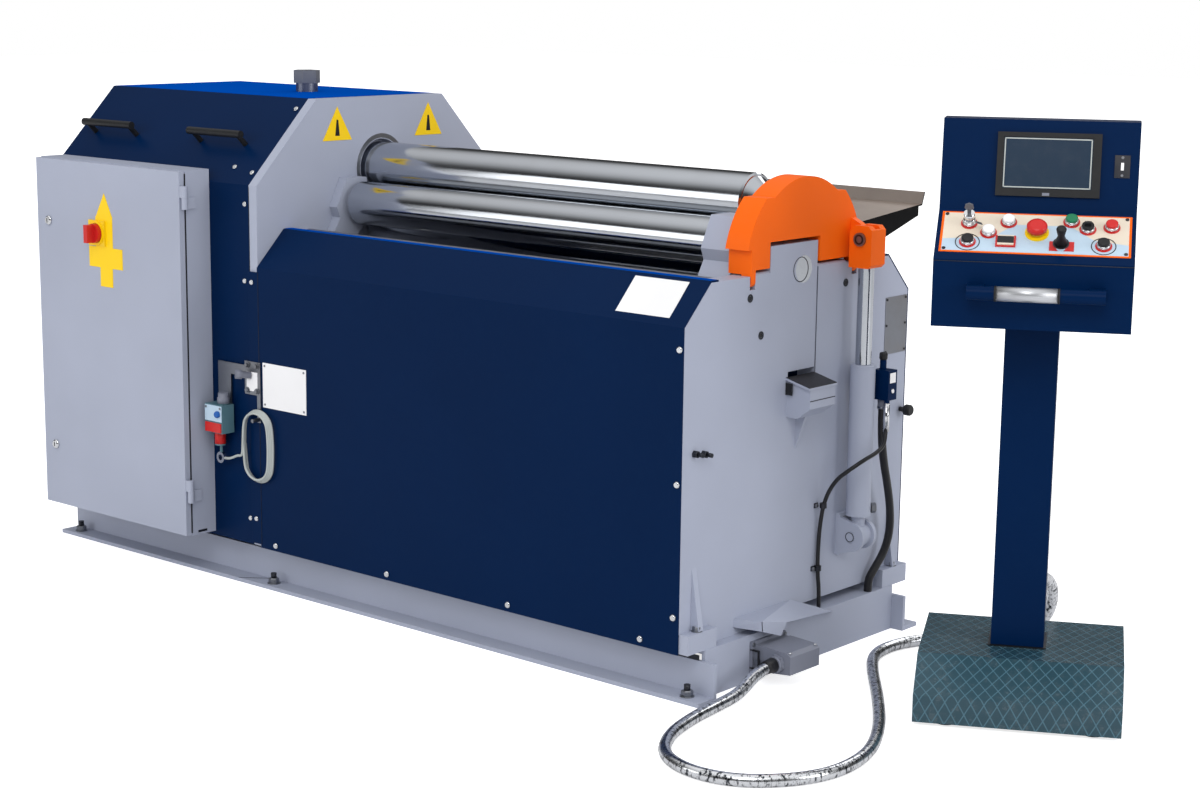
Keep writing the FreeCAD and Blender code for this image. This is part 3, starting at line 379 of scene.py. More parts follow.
def tread_plate(name, colour):
    """Painted chequer plate: its ridges are coloured paler, a painted highlight where they catch the light.
    """
    material = paint(name, colour, gloss=0.2, drift=0.12, dusting=0.12, coat=0.1, shine=0.4)
    tree = material.node_tree
    shader = tree.nodes["Principled BSDF"]
    ridges = add_node(tree, "ShaderNodeGroup", node_tree=tread_group())
    ridges.inputs["Turn"].default_value = -CONSOLE_TURN
    # painted highlight: the ridges' colour is made paler where they catch the light
    lit_ridges = mix_colour(tree)
    join(tree, ridges, "Height", lit_ridges, "Factor")
    tree.links.new(shader.inputs["Base Color"].links[0].from_socket, lit_ridges.inputs["A"])
    lit_ridges.inputs["B"].default_value = (*[min(1.0, c * 2.2 + 0.02) for c in colour], 1)
    join(tree, lit_ridges, "Result", shader, "Base Color")
    raised = add_node(tree, "ShaderNodeBump")
    set_inputs(raised, Strength=0.6, Distance=RIDGE_HEIGHT)
    join(tree, ridges, "Height", raised, "Height")
    join(tree, raised, "Normal", shader, "Normal")
    return material


def braided(name, colour, shade):
    """Metal braid over a cable: bright wire broken by short dark streaks, painted shade where the wires
    turn away from the light.
    """
    material = metal(name, colour, (24.0, 24.0, 10.0), staining=0.1, gloss=0.12, bump=0.3)
    tree = material.node_tree
    shader = tree.nodes["Principled BSDF"]
    effect = shader.inputs["Roughness"].links[0].from_node
    # painted shade: the dark streaks stand for the braid's wires turning away from the light
    shade_streaks = add_node(tree, "ShaderNodeMapRange")
    set_inputs(shade_streaks, From_Min=0.38, From_Max=0.5)
    join(tree, effect, "Height", shade_streaks, "Value")
    wire_and_shade = mix_colour(tree)
    wire_and_shade.inputs["A"].default_value = (*shade, 1)
    join(tree, effect, "Colour", wire_and_shade, "B")
    join(tree, shade_streaks, "Result", wire_and_shade, "Factor")
    join(tree, wire_and_shade, "Result", shader, "Base Color")
    return material


def dark_ended(name, colour):
    """Bare sheet steel whose cut ends, the faces towards X, are painted near black."""
    material = metal(name, colour, (5.0, 5.0, 5.0), staining=0.3, gloss=0.35)
    tree = material.node_tree
    shader = tree.nodes["Principled BSDF"]
    place = add_node(tree, "ShaderNodeTexCoord")
    parts = add_node(tree, "ShaderNodeSeparateXYZ")
    join(tree, place, "Normal", parts, 0)
    end_face = add_node(tree, "ShaderNodeMath", operation="GREATER_THAN")
    end_face.inputs[1].default_value = 0.7
    join(tree, parts, "X", end_face, 0)
    painted = mix_colour(tree)
    join(tree, end_face, 0, painted, "Factor")
    tree.links.new(shader.inputs["Base Color"].links[0].from_socket, painted.inputs["A"])
    painted.inputs["B"].default_value = (0.004, 0.004, 0.005, 1)
    join(tree, painted, "Result", shader, "Base Color")
    return material


# Solids for the pieces, in millimetres

class Shape:
    """Gathers simple solids into one mesh, each with its own finish."""

    def __init__(self, frame_of=None):
        self.mesh = bmesh.new()
        self.finishes = []
        self.frame_of = frame_of or Matrix.Identity(4)

    def _index(self, finish):
        if finish not in self.finishes:
            self.finishes.append(finish)
        return self.finishes.index(finish)

    def _add(self, rings, finish, smooth):
        index = self._index(finish)
        rows = [[self.mesh.verts.new(self.frame_of @ Vector(p) * MM) for p in ring] for ring in rings]
        faces = [self.mesh.faces.new(list(reversed(rows[0]))), self.mesh.faces.new(rows[-1])]
        for low, high in zip(rows[:-1], rows[1:]):
            count = len(low)
            for k in range(count):
                n = (k + 1) % count
                face = self.mesh.faces.new((low[k], low[n], high[n], high[k]))
                face.smooth = smooth
                faces.append(face)
        for face in faces:
            face.material_index = index

    def box(self, low, high, finish):
        (x0, y0, z0), (x1, y1, z1) = low, high
        corners = [(x0, y0), (x1, y0), (x1, y1), (x0, y1)]
        self._add([[(x, y, z) for x, y in corners] for z in (z0, z1)], finish, False)

    def prism(self, outline, rise, finish):
        """A flat outline of points, drawn out along the vector rise."""
        self._add([outline, [tuple(Vector(p) + Vector(rise)) for p in outline]], finish, False)

    def turned(self, start, axis, profile, finish, sides=24, smooth=True):
        """A solid turned about an axis: profile holds (distance along it, radius)."""
        axis = Vector(axis).normalized()
        across = axis.orthogonal().normalized()
        other = axis.cross(across)
        rings = []
        for along, radius in profile:
            ring = []
            for k in range(sides):
                a = 2 * math.pi * k / sides
                out = (across * math.cos(a) + other * math.sin(a)) * radius
                ring.append(tuple(Vector(start) + axis * along + out))
            rings.append(ring)
        self._add(rings, finish, smooth)

    def rod(self, start, axis, length, radius, finish, sides=24):
        self.turned(start, axis, [(0, radius), (length, radius)], finish, sides)

    def ring(self, centre, axis, outer, inner, height, finish, sides=32):
        axis = Vector(axis).normalized()
        across = axis.orthogonal().normalized()
        other = axis.cross(across)
        index = self._index(finish)
        rows = []
        for radius, lift in ((outer, 0), (outer, height), (inner, height), (inner, 0)):
            row = []
            for k in range(sides):
                a = 2 * math.pi * k / sides
                out = (across * math.cos(a) + other * math.sin(a)) * radius
                point = Vector(centre) + axis * lift + out
                row.append(self.mesh.verts.new(self.frame_of @ point * MM))
            rows.append(row)
        for low, high in zip(rows, rows[1:] + rows[:1]):
            for k in range(sides):
                n = (k + 1) % sides
                face = self.mesh.faces.new((low[k], low[n], high[n], high[k]))
                face.material_index = index

    def hex_bolt(self, place, axis, across_flats, height, finish, washer=None):
        lift = 0.0
        if washer:
            self.rod(place, axis, 2.0, washer, finish)
            lift = 2.0
        start = Vector(place) + Vector(axis).normalized() * lift
        self.turned(start, axis, [(0, across_flats / 1.732), (height * 0.85, across_flats / 1.732),
                                  (height, across_flats / 2)], finish, sides=6, smooth=False)

    def socket_screw(self, place, axis, radius, finish):
        self.turned(place, axis, [(0, radius), (radius * 0.35, radius), (radius * 0.6, radius * 0.7)],
                    finish, sides=16)

    def place(self, name, body="frame", bevel=0.0):
        bmesh.ops.recalc_face_normals(self.mesh, faces=self.mesh.faces)
        mesh = bpy.data.meshes.new(name)
        self.mesh.to_mesh(mesh)
        self.mesh.free()
        piece = bpy.data.objects.new(name, mesh)
        bpy.context.collection.objects.link(piece)
        for finish in self.finishes:
            mesh.materials.append(finish_named(finish))
        if bevel:
            round_edges(piece, bevel)
        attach(piece, body)
        return piece


def round_edges(piece, width, segments=2):
    modifier = piece.modifiers.new("rounded edges", "BEVEL")
    modifier.width = width * MM
    modifier.segments = segments
    modifier.limit_method = "ANGLE"
    modifier.angle_limit = math.radians(40)
    modifier.harden_normals = False


# Studio

def studio_floor():
    reach = studio_sizes().floor_reach
    mesh = bpy.data.meshes.new("studio_floor")
    corners = [(-reach, -reach, 0), (reach, -reach, 0), (reach, reach, 0), (-reach, reach, 0)]
    mesh.from_pydata([Vector(c) - Vector((0, 0, 0.0005)) for c in corners], [], [(0, 1, 2, 3)])
    floor = bpy.data.objects.new("studio_floor", mesh)
    bpy.context.collection.objects.link(floor)
    material, tree, shader = new_material("studio_floor")
    shader.inputs["Base Color"].default_value = (0.78, 0.78, 0.79, 1)
    shader.inputs["Roughness"].default_value = 0.9
    shader.inputs["Specular IOR Level"].default_value = 0.1
    glow = add_node(tree, "ShaderNodeEmission")
    path = add_node(tree, "ShaderNodeLightPath")
    level = add_node(tree, "ShaderNodeMath", operation="MULTIPLY")
    level.inputs[1].default_value = 0.75
    join(tree, path, "Is Camera Ray", level, 0)
    join(tree, level, 0, glow, "Strength")
    both = add_node(tree, "ShaderNodeAddShader")
    output = tree.nodes["Material Output"]
    join(tree, shader, 0, both, 0)
    join(tree, glow, 0, both, 1)
    join(tree, both, 0, output, "Surface")
    mesh.materials.append(material)


def studio_world():
    world = bpy.data.worlds.new("studio_world")
    bpy.context.scene.world = world
    world.use_nodes = True
    tree = world.node_tree
    sky = tree.nodes["Background"]
    sky.inputs["Color"].default_value = (1, 1, 1, 1)
    path = add_node(tree, "ShaderNodeLightPath")
    seen = add_node(tree, "ShaderNodeMath", operation="ADD", use_clamp=True)
    join(tree, path, "Is Camera Ray", seen, 0)
    join(tree, path, "Is Transmission Ray", seen, 1)
    place = add_node(tree, "ShaderNodeTexCoord")
    parts = add_node(tree, "ShaderNodeSeparateXYZ")
    join(tree, place, "Generated", parts, 0)
    height = add_node(tree, "ShaderNodeMapRange", interpolation_type="SMOOTHSTEP")
    set_inputs(height, From_Min=0.4, From_Max=0.85, To_Min=0.05, To_Max=1.0)
    join(tree, parts, "Z", height, "Value")
    soft = add_node(tree, "ShaderNodeMix", data_type="FLOAT")
    soft.inputs["A"].default_value = 0.84
    join(tree, path, "Is Glossy Ray", soft, "Factor")
    join(tree, height, "Result", soft, "B")
    level = add_node(tree, "ShaderNodeMath", operation="MAXIMUM")
    join(tree, seen, 0, level, 0)
    join(tree, soft, "Result", level, 1)
    join(tree, level, 0, sky, "Strength")


def studio_lamp(name, place, aim, size, power):
    data = bpy.data.lights.new(name, "AREA")
    data.shape = "RECTANGLE"
    data.size = size[0]
    data.size_y = size[1]
    data.energy = power
    lamp = bpy.data.objects.new(name, data)
    bpy.context.collection.objects.link(lamp)
    lamp.location = place
    lamp.rotation_euler = (Vector(aim) - Vector(place)).to_track_quat("-Z", "Y").to_euler()


def studio_camera():
    sizes = studio_sizes()
    turn, pitch, roll = sizes.camera_turn, sizes.camera_pitch, sizes.camera_roll
    back = Vector((math.sin(turn) * math.cos(pitch), -math.cos(turn) * math.cos(pitch),
                   math.sin(pitch)))
    right = Vector((0, 0, 1)).cross(back).normalized()
    up = back.cross(right)
    level_right = right * math.cos(roll) + up * math.sin(roll)
    level_up = up * math.cos(roll) - right * math.sin(roll)
    data = bpy.data.cameras.new("studio_camera")
    data.sensor_width = 36.0
    data.lens = sizes.lens
    data.clip_end = 100.0
    camera = bpy.data.objects.new("studio_camera", data)
    bpy.context.collection.objects.link(camera)
    axes = Matrix((level_right, level_up, back)).transposed()
    camera.matrix_world = Matrix.Translation(sizes.camera_place) @ axes.to_4x4()
    bpy.context.scene.camera = camera


class MACHINE_OT_studio(bpy.types.Operator):
    """Set the pale floor, the soft lamps and the camera at the photograph's angle"""
    bl_idname = "machine.studio"
    bl_label = "Studio"

    def execute(self, context):
        studio_floor()
        studio_world()
        studio_lamp("key_lamp", (4.5, -6.0, 6.5), (0.3, 0, 0.6), (4.0, 4.0), 200.0)
        studio_lamp("side_lamp", (-4.0, -7.0, 2.5), (-0.5, 0, 0.5), (4.0, 3.0), 90.0)
        studio_lamp("end_lamp", (7.5, 0.5, 2.5), (1.1, 0, 0.6), (3.0, 3.0), 110.0)
        studio_lamp("rim_lamp", (0.0, 6.5, 5.0), (0.3, 0, 0.8), (6.0, 2.0), 90.0)
        studio_camera()
        context.scene.view_settings.view_transform = "Standard"
        return {"FINISHED"}


# Cords, with the same route points in millimetres as the solids have

def console_point(u, b, z):
    x, y = CONSOLE_PLACE
    return (x + u * math.cos(CONSOLE_TURN) - b * math.sin(CONSOLE_TURN),
            y + u * math.sin(CONSOLE_TURN) + b * math.cos(CONSOLE_TURN), z)


CABLE_ROUTE = [
    (1204, -222.3, 58), (1204, -277, 58), (1206, -347, 20.5), (1208, -430, 14.5), (1222, -545, 14.5),
    (1255, -665, 14.5), (1325, -768, 14.5), (1440, -806, 14.5), (1555, -768, 14.5), (1645, -640, 14.5),
    (1640, -480, 14.5), (1560, -315, 14.5), (1430, -130, 14.5), (1318, 15, 14.5), (1250, 118, 14.5),
    (1238, 218, 14.5), (1270, 312, 14.5), console_point(-150, 640, 14.5), console_point(-40, 640, 14.5),
    console_point(46, 618, 81), console_point(63, 568, 178), console_point(30, 479, 236),
    console_point(30, 306.3, 236),
]
THIN_ROUTE = [
    (1188, 234, 569.7), (1188, 234, 531), (1199, 212, 503), (1205, 170, 491), (1205, 128, 484),
    (1186, 94, 462), (1148, 86, 430), (1119, 86, 378), (1110, 83, 315), (1109, 80, 250),
    (1110, 80, 195), (1113, 84, 155), (1113, 84, 112.3),
]
THICK_ROUTE = [
    (1166, 249, 584.7), (1166, 249, 520), (1161, 270, 450), (1154, 302, 385), (1147, 328, 325),
    (1140, 343, 262), (1132, 334, 208), (1121, 300, 160), (1117, 288, 140), (1117, 288, 112.3),
]
ROPE_ROUTE = [
    (-417.2, -459, 334), (-398, -459, 334), (-367, -459, 349.3), (-348.3, -459, 349.3),
]
COIL_CENTRE = (-292, -459, 383.3)


def coil_turns():
    """Points of the spare rope's turns inside the coil's outer shape."""
    x, y, z = COIL_CENTRE
    points = []
    turns = 4
    steps = 16
    for k in range(turns * steps + 1):
        a = math.pi - 2 * math.pi * k / steps
        turn = k / steps
        reach = 48.0 + 2.0 * turn
        lift = 40 if math.sin(a) >= 0 else -40
        points.append((x + turn + reach * math.cos(a), y - 4.6 + 3.0 * turn,
                       z + lift * min(1.0, abs(math.sin(a)) * 2.5) + reach * math.sin(a)))
    return points


def cord(name, route, radius, finish, nodes):
    data = bpy.data.curves.new(name, "CURVE")
    data.dimensions = "3D"
    line = data.splines.new("NURBS")
    line.points.add(len(route) - 1)
    for point, place in zip(line.points, route):
        point.co = (*[c * MM for c in place], 1.0)
    line.order_u = 3
    line.use_endpoint_u = True
    data.resolution_u = 12
    data.bevel_depth = radius * MM
    data.bevel_resolution = 5
    data.use_fill_caps = True
    data.materials.append(finish_named(finish))
    piece = bpy.data.objects.new(name, data)
    bpy.context.collection.objects.link(piece)
    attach(piece, "frame")
    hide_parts(*nodes)


class MACHINE_OT_cords(bpy.types.Operator):
    """Lay the control cable, the two hoses and the pull rope"""
    bl_idname = "machine.cords"
    bl_label = "Cable, hoses and rope"

    def execute(self, context):
        cord("control_cable_line", CABLE_ROUTE, 14, "cable_jacket", ["control_cable"])
        cord("thin_hose_line", THIN_ROUTE, 5, "hose_rubber", ["thin_hose"])
        cord("thick_hose_line", THICK_ROUTE, 10, "hose_rubber", ["thick_hose"])
        cord("pull_rope_line", ROPE_ROUTE + coil_turns(), 3.5, "rope_jacket",
             ["pull_rope", "rope_coil"])
        return {"FINISHED"}


# How far the edges of each node are rounded, in millimetres
EDGES = {
    "right_end_plate": 2.0, "left_frame_plate": 2.0, "drop_end_yoke": 3.0, "rod_clevis": 3.0,
    "drive_hood": 2.5, "front_cover": 1.2, "rear_cover": 1.2, "cabinet_body": 2.0, "cabinet_door": 2.0,
    "console_head": 2.0, "console_column": 2.0, "console_base": 1.5, "front_base_rail": 1.0,
    "rear_base_rail": 1.0, "right_end_beam": 1.5, "left_end_beam": 1.5, "lift_cylinder_box": 1.0,
    "valve_block": 2.0, "connector_hood": 3.0, "connector_housing": 2.0, "front_block_left": 1.5,
    "front_block_right": 1.5, "rear_block_left": 1.5, "rear_block_right": 1.5, "cylinder_foot": 2.0,
    "bottom_block_right": 1.0, "rear_table": 0.8, "console_screen": 1.5, "console_handle": 3.0,
    "isolator_knob": 2.0, "pull_switch": 2.0, "front_plate_foot": 1.5, "rear_plate_foot": 1.5,
    "cylinder_barrel": 1.5, "top_roll_bearing": 2.0, "console_buttons": 1.0, "hood_lifting_bolt": 2.0,
}


# Nodes whose photographed colour isn't that of their slot
OWN_FINISH = {"hood_lifting_bolt": "oiled_steel", "rear_table": "table_steel",
              "console_buttons": "bright_chrome", "console_handle": "navy_paint",
              "cabinet_hinges": "grey_paint", "cylinder_foot_pin": "grey_paint",
              "pull_switch": "switch_casting"}


class MACHINE_OT_finishes(bpy.types.Operator):
    """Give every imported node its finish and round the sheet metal's edges"""
    bl_idname = "machine.finishes"
    bl_label = "Finishes"

    def execute(self, context):
        for entry in frame["record"]["subparts"]:
            node = frame["nodes"][entry["node"]]
            node.data.materials.clear()
            finish = OWN_FINISH.get(entry["node"], entry["material_slot"])
            node.data.materials.append(finish_named(finish))
            if entry["node"] in EDGES:
                round_edges(node, EDGES[entry["node"]])
        return {"FINISHED"}


class MACHINE_OT_base(bpy.types.Operator):
    """Bolt the base rails down and add the screws of the end beam"""
    bl_idname = "machine.base"
    bl_label = "Base fittings"

    def execute(self, context):
        bolts = Shape()
        for x in (-1110, -281, 1110):
            for y in (-416, 416):
                bolts.hex_bolt((x, y, 10), (0, 0, 1), 24, 13, "oiled_steel", washer=17)
                bolts.rod((x, y, 22), (0, 0, 1), 16, 7.5, "dark_steel")
        bolts.hex_bolt((1115, -392, 157), (0, 0, 1), 19, 10, "oiled_steel", washer=13)
        bolts.hex_bolt((1115, 392, 157), (0, 0, 1), 19, 10, "oiled_steel", washer=13)
        bolts.place("base_bolts")
        joints_and_gap_shade = Shape()
        joints_and_gap_shade.prism([(-392, -443.4, 10.2), (-388, -443.4, 10.2), (-318, -389, 10.2), (-322, -389, 10.2)],
                     (0, 0, 0.5), "dark_steel")
        joints_and_gap_shade.box((-1164.0, -388.4, 20), (-1163.4, -379, 80), "dark_steel")
        # painted shade: a thin dark sheet in the gap between the end beam and the front foot block, where
        # there is only shade
        joints_and_gap_shade.box((1054, -386, 12), (1118, -384, 100), "dark_steel")
        joints_and_gap_shade.place("rail_joints_and_gap_shade")
        return {"FINISHED"}


class MACHINE_OT_housing(bpy.types.Operator):
    """Add the screws and bare plates of hood and covers, and paler blue layers on their tops, a painted
    highlight
    """
    bl_idname = "machine.housing"
    bl_label = "Hood and cover fittings"

    def execute(self, context):
        screws = Shape()
        for x, z in ((-238, 124), (176, 125), (587, 126), (994, 126), (1093, 799), (1092, 498),
                     (1088, 194)):
            screws.socket_screw((x, COVER_FACE, z), (0, -1, 0), 8.0, "bright_chrome")
        for x, z in ((-316, 809), (-311, 185)):
            screws.socket_screw((x, COVER_FACE - 1, z), (0, -1, 0), 7.0, "bright_chrome")
        for x, z in ((-343, 1008), (-348, 809), (-340, 181), (-1120, 1010)):
            screws.socket_screw((x, HOOD_FACE, z), (0, -1, 0), 7.0, "bright_chrome")
        slope = Vector((0, -213, 208)).normalized()
        for x, y, z in ((-345, -259, 1243), (-423, -403, 1095), (-345, -412, 1086)):
            screws.socket_screw((x, y, z), slope, 7.0, "bright_chrome")
        screws.place("sheet_screws")

        # painted highlight: thin paler blue layers on the tops of hood and front cover, where they catch
        # the light
        lit_tops = Shape()
        lit_tops.box((-1141, -229, 1270.1), (-331, 229, 1270.7), "blue_paint")
        lit_tops.box((-294, -349, 942.1), (1099, -326, 942.8), "blue_paint")
        lit_tops.place("painted_highlight_tops")

        plates = Shape()
        plates.box((-279, COVER_FACE - 1.2, 487), (-114, COVER_FACE, 604), "white_paint")
        for x in (-271, -122):
            for z in (495, 596):
                plates.rod((x, COVER_FACE - 1.2, z), (0, -1, 0), 1.2, 3.0, "oiled_steel", 12)
        slant = Vector((0, -95.0, 91.0)).normalized()
        low = Vector((0, -440, 848.5)) + slant * 1.6
        up = Vector((0, 91.0, 95.5)).normalized()
        corners = [low + up * 12, low + up * 118]
        plates.prism([(895, corners[0].y, corners[0].z), (1050, corners[0].y, corners[0].z),
                      (1050, corners[1].y, corners[1].z), (895, corners[1].y, corners[1].z)],
                     tuple(slant * 0.8), "white_paint")
        plates.place("bare_plates")
        seam = Shape()
        seam.box((-328.4, -441.2, 836), (-327.4, -439.8, 1052), "dark_steel")
        seam.box((-331.4, -441.2, 122), (-330.2, -439.8, 836), "dark_steel")
        seam.box((-293.8, -444.8, 118), (-292.8, -443.9, 836), "dark_steel")
        seam.place("housing_seams")
        strip = Shape()
        strip.box((-330, COVER_FACE - 1, 118), (-294, -439.5, 836), "navy_paint")
        strip.place("plate_edge_strip", bevel=0.5)
        return {"FINISHED"}


class MACHINE_OT_cabinet(bpy.types.Operator):
    """Add the cabinet's locks, seal, isolator plates and its gap to the body"""
    bl_idname = "machine.cabinet"
    bl_label = "Cabinet fittings"

    def execute(self, context):
        door = Shape()
        for z in (918, 292):
            door.turned((-1046, CABINET_FACE, z), (0, -1, 0), [(0, 13), (3, 13), (4.5, 11), (7, 9)],
                        "bright_chrome")
            door.box((-1047.5, CABINET_FACE - 7.4, z - 6), (-1044.5, CABINET_FACE - 6.8, z + 6),
                     "dark_steel")
        y = CABINET_FACE - 0.9
        door.box((-869, y, 809), (-726, y + 0.8, 864), "yellow_paint")
        door.box((-822, y, 758), (-769, y + 0.8, 809), "yellow_paint")
        door.box((-838, y, 864), (-766, y + 0.8, 945), "yellow_paint")
        door.prism([(-836, y, 945), (-765, y, 945), (-799, y, 1009)], (0, 0.8, 0), "yellow_paint")
        door.place("door_fittings", "cabinet_door")
        seal = Shape()
        for z in (128, 1079):
            seal.box((-1092, -519.6, z), (-490, -519.0, z + 4), "hose_rubber")
        seal.box((-487.5, -521.5, 130), (-483.4, -518.5, 1081), "hose_rubber")
        seal.place("door_seal")
        slot = Shape()
        slot.box((-484.1, -500, 128), (-483.2, -470, 134), "dark_steel")
        slot.place("cabinet_slot")
        knob = Shape()
        knob.ring((-829, -544.2, 901), (0, -1, 0), 33, 27, 3, "yellow_paint")
        knob.place("isolator_ring", "cabinet_door")
        return {"FINISHED"}


class MACHINE_OT_rolls(bpy.types.Operator):
    """Add the rings and nuts at the rolls' ends and the triangles on the frame plate"""
    bl_idname = "machine.rolls"
    bl_label = "Roll fittings"

    def execute(self, context):
        signs = Shape()
        x = LEFT_PLATE_INNER + 0.1
        for y in (-159, 178):
            signs.prism([(x, y - 52, 1160), (x, y + 52, 1160), (x, y, 1248)], (0.9, 0, 0), "yellow_paint")
            signs.prism([(x + 0.9, y - 8, 1172), (x + 0.9, y + 8, 1172), (x + 0.9, y + 3, 1214),
                         (x + 0.9, y - 3, 1214)], (0.3, 0, 0), "black_plastic")
        signs.place("plain_signs")
        rings = Shape()
        rings.ring((LEFT_PLATE_INNER + 0.02, 0, TOP_ROLL_HEIGHT), (1, 0, 0), 90, 78, 0.25, "oiled_steel")
        rings.place("bearing_ring")
        nuts = Shape()
        for y, z in ((-168, 1020), (-158, 968), (-100, 940)):
            nuts.hex_bolt((1034.2, y, z), (1, 0, 0), 15, 4.5, "oiled_steel")
        nuts.place("block_nuts", "front_side_blocks")
        return {"FINISHED"}


class MACHINE_OT_drop_end(bpy.types.Operator):
    """Add the screws, ferrules, clips and bare plate of the drop end"""
    bl_idname = "machine.drop_end"
    bl_label = "Drop end fittings"

    def execute(self, context):
        fixed = Shape()
        x = PLATE_FACE
        for y, z in ((-206, 889), (170, 889), (-162, 800)):
            fixed.ring((x, y, z), (1, 0, 0), 9.5, 6.0, 1.2, "dark_steel")
            fixed.rod((x - 1, y, z), (1, 0, 0), 1.2, 6.0, "black_plastic", 6)
        for y, z in ((-398, 562), (-366, 557)):
            fixed.hex_bolt((x, y, z), (1, 0, 0), 15, 12, "dark_steel")
            fixed.rod((x + 12, y, z), (1, 0, 0), 14, 5, "dark_steel")
        fixed.rod((x, 425, 549), (1, 0, 0), 12, 6, "dark_steel")
        fixed.turned((x + 12, 425, 549), (1, 0, 0), [(0, 9), (6, 14), (18, 14), (22, 11)], "black_plastic")
        fixed.box((x, 344, 694), (x + 1.0, 438, 835), "oiled_steel")
        for y in (350, 432):
            for z in (700, 765, 829):
                fixed.rod((x + 1.0, y, z), (1, 0, 0), 1.5, 3.0, "dark_steel", 12)
        fixed.place("end_plate_fittings")
        block = Shape()
        block.ring((1101.0, -12, 937), (1, 0, 0), 29.5, 27.5, 0.5, "dark_steel", 40)
        block.place("journal_ring", "bottom_blocks")
        seam = Shape()
        seam.box((PLATE_FACE + 0.05, 53.0, 690), (PLATE_FACE + 0.5, 55.2, 938), "dark_steel")
        seam.place("guide_seam")
        lid = Shape()
        lid.prism([(1103, -60, 689.3), (1103, 50, 689.3), (1169, 50, 672.3), (1169, -60, 672.3)],
                  (0, 0, 1.2), "hose_rubber")
        lid.box((1168.1, -55, 640), (1168.6, 45, 642), "dark_steel")
        lid.box((1103, -62.2, 650), (1122, -60.8, 678), "black_plastic")
        lid.place("lift_box_lining")
        fit = Shape()
        fit.rod((1166, 249, 583), (0, 0, 1), 6, 13, "oiled_steel", 6)
        fit.rod((1166, 249, 589), (0, 0, 1), 19.4, 12, "grey_plastic")
        fit.rod((1188, 234, 532), (0, 0, 1), 69, 7.4, "bright_chrome")
        fit.turned((1166, 246, 702), (0, 0, 1), [(0, 8.2), (4, 10), (14, 10), (18, 8)], "black_plastic")
        fit.box((1195.9, 232, 650), (1196.6, 256, 674), "white_paint")
        fit.rod((1196, 244, 630), (1, 0, 0), 2.0, 5.0, "white_paint", 16)
        fit.place("valve_fittings")
        clips = Shape()
        for z, y, cx in ((364, 85.3, 1116.5), (210, 80, 1109.8)):
            clips.ring((cx, y, z - 6), (0, 0, 1), 8.5, 5.2, 12, "dark_steel")
            clips.box((PLATE_FACE, y - 18, z - 6), (PLATE_FACE + 2, y - 4, z + 6), "dark_steel")
            clips.hex_bolt((PLATE_FACE + 2, y - 13, z), (1, 0, 0), 9, 5, "oiled_steel")
        clips.place("hose_clips")
        low = Shape()
        low.hex_bolt((CYLINDER_X, 220, 340), (0, 1, 0), 26, 10, "oiled_steel")
        low.rod((CYLINDER_X, 230, 340), (0, 1, 0), 14, 9, "oiled_steel")
        low.hex_bolt((1168, 212, 345), (0.7, 0.7, 0), 22, 12, "oiled_steel")
        low.turned((CYLINDER_X, 190, 690.6), (0, 0, 1), [(0, 29.5), (3, 29.5), (5, 26)], "grey_paint")
        low.place("barrel_fittings", "cylinder_barrel")
        pins = Shape()
        pins.ring((CYLINDER_X, 156.5, 278), (0, 1, 0), 12, 10.4, 1.2, "dark_steel")
        pins.place("foot_pin_mark")
        head = Shape()
        head.ring((CYLINDER_X, 153.2, 996), (0, 1, 0), 12, 8, 1.2, "dark_steel")
        head.place("lug_pin_mark", "yoke")
        return {"FINISHED"}


class MACHINE_OT_switch(bpy.types.Operator):
    """Colour the pull-cord switch: its cover, button, stem and eye"""
    bl_idname = "machine.switch"
    bl_label = "Pull-cord switch fittings"

    def execute(self, context):
        parts = Shape()
        y = SWITCH_FACE
        parts.box((-460, y - 1.2, 436), (-394, y, 478), "pale_blue_film")
        parts.box((-458, y - 3.0, 407), (-396, y, 432), "red_plastic")
        parts.turned((-408, y, 456), (0, -1, 0), [(0, 9), (6, 9), (9, 7)], "blue_plastic")
        for x in (-455, -399):
            parts.rod((x, y - 1.2, 472), (0, -1, 0), 1.5, 3, "oiled_steel", 12)
        parts.turned((-432, -462, 372), (0, 0, 1), [(0, 14.6), (30, 14.6), (32, 13)], "red_plastic")
        parts.turned((-410, -468, 484), (0, 0, 1), [(0, 16), (14, 16), (16, 13.6), (27, 13.6)],
                     "grey_plastic", sides=12)
        parts.ring((-432, -463.4, 334), (0, 1, 0), 15.0, 7.6, 8.8, "bright_chrome")
        parts.place("switch_parts")
        fixings = Shape()
        fixings.box((-338, BRACKET_FACE - 1.2, 525), (-296, BRACKET_FACE, 575), "white_paint")
        for x, z in ((-334, 592), (-298, 592), (-334, 526), (-298, 526)):
            fixings.hex_bolt((x, BRACKET_FACE, z), (0, -1, 0), 10, 6, "oiled_steel", washer=8)
        fixings.turned((-322, BRACKET_FACE, 566), (-0.5, -0.8, 0.1), [(0, 9), (22, 9), (24, 12), (40, 12)],
                       "grey_plastic")
        fixings.place("bracket_screws")
        return {"FINISHED"}


def desk_frame(origin_b, origin_z, tilt):
    """Matrix from (u, s, h) on a sloping face of the console to the part's frame."""
    place = Matrix.Translation((*CONSOLE_PLACE, 0)) @ Matrix.Rotation(CONSOLE_TURN, 4, "Z")
    return place @ Matrix.Translation((0, origin_b, origin_z)) @ Matrix.Rotation(tilt, 4, "X")


DECK = desk_frame(0, 1024, math.atan2(93, 125))
SCREEN = desk_frame(125, 1117, math.atan2(190, 40))
FRONT = desk_frame(0, 0, 0)


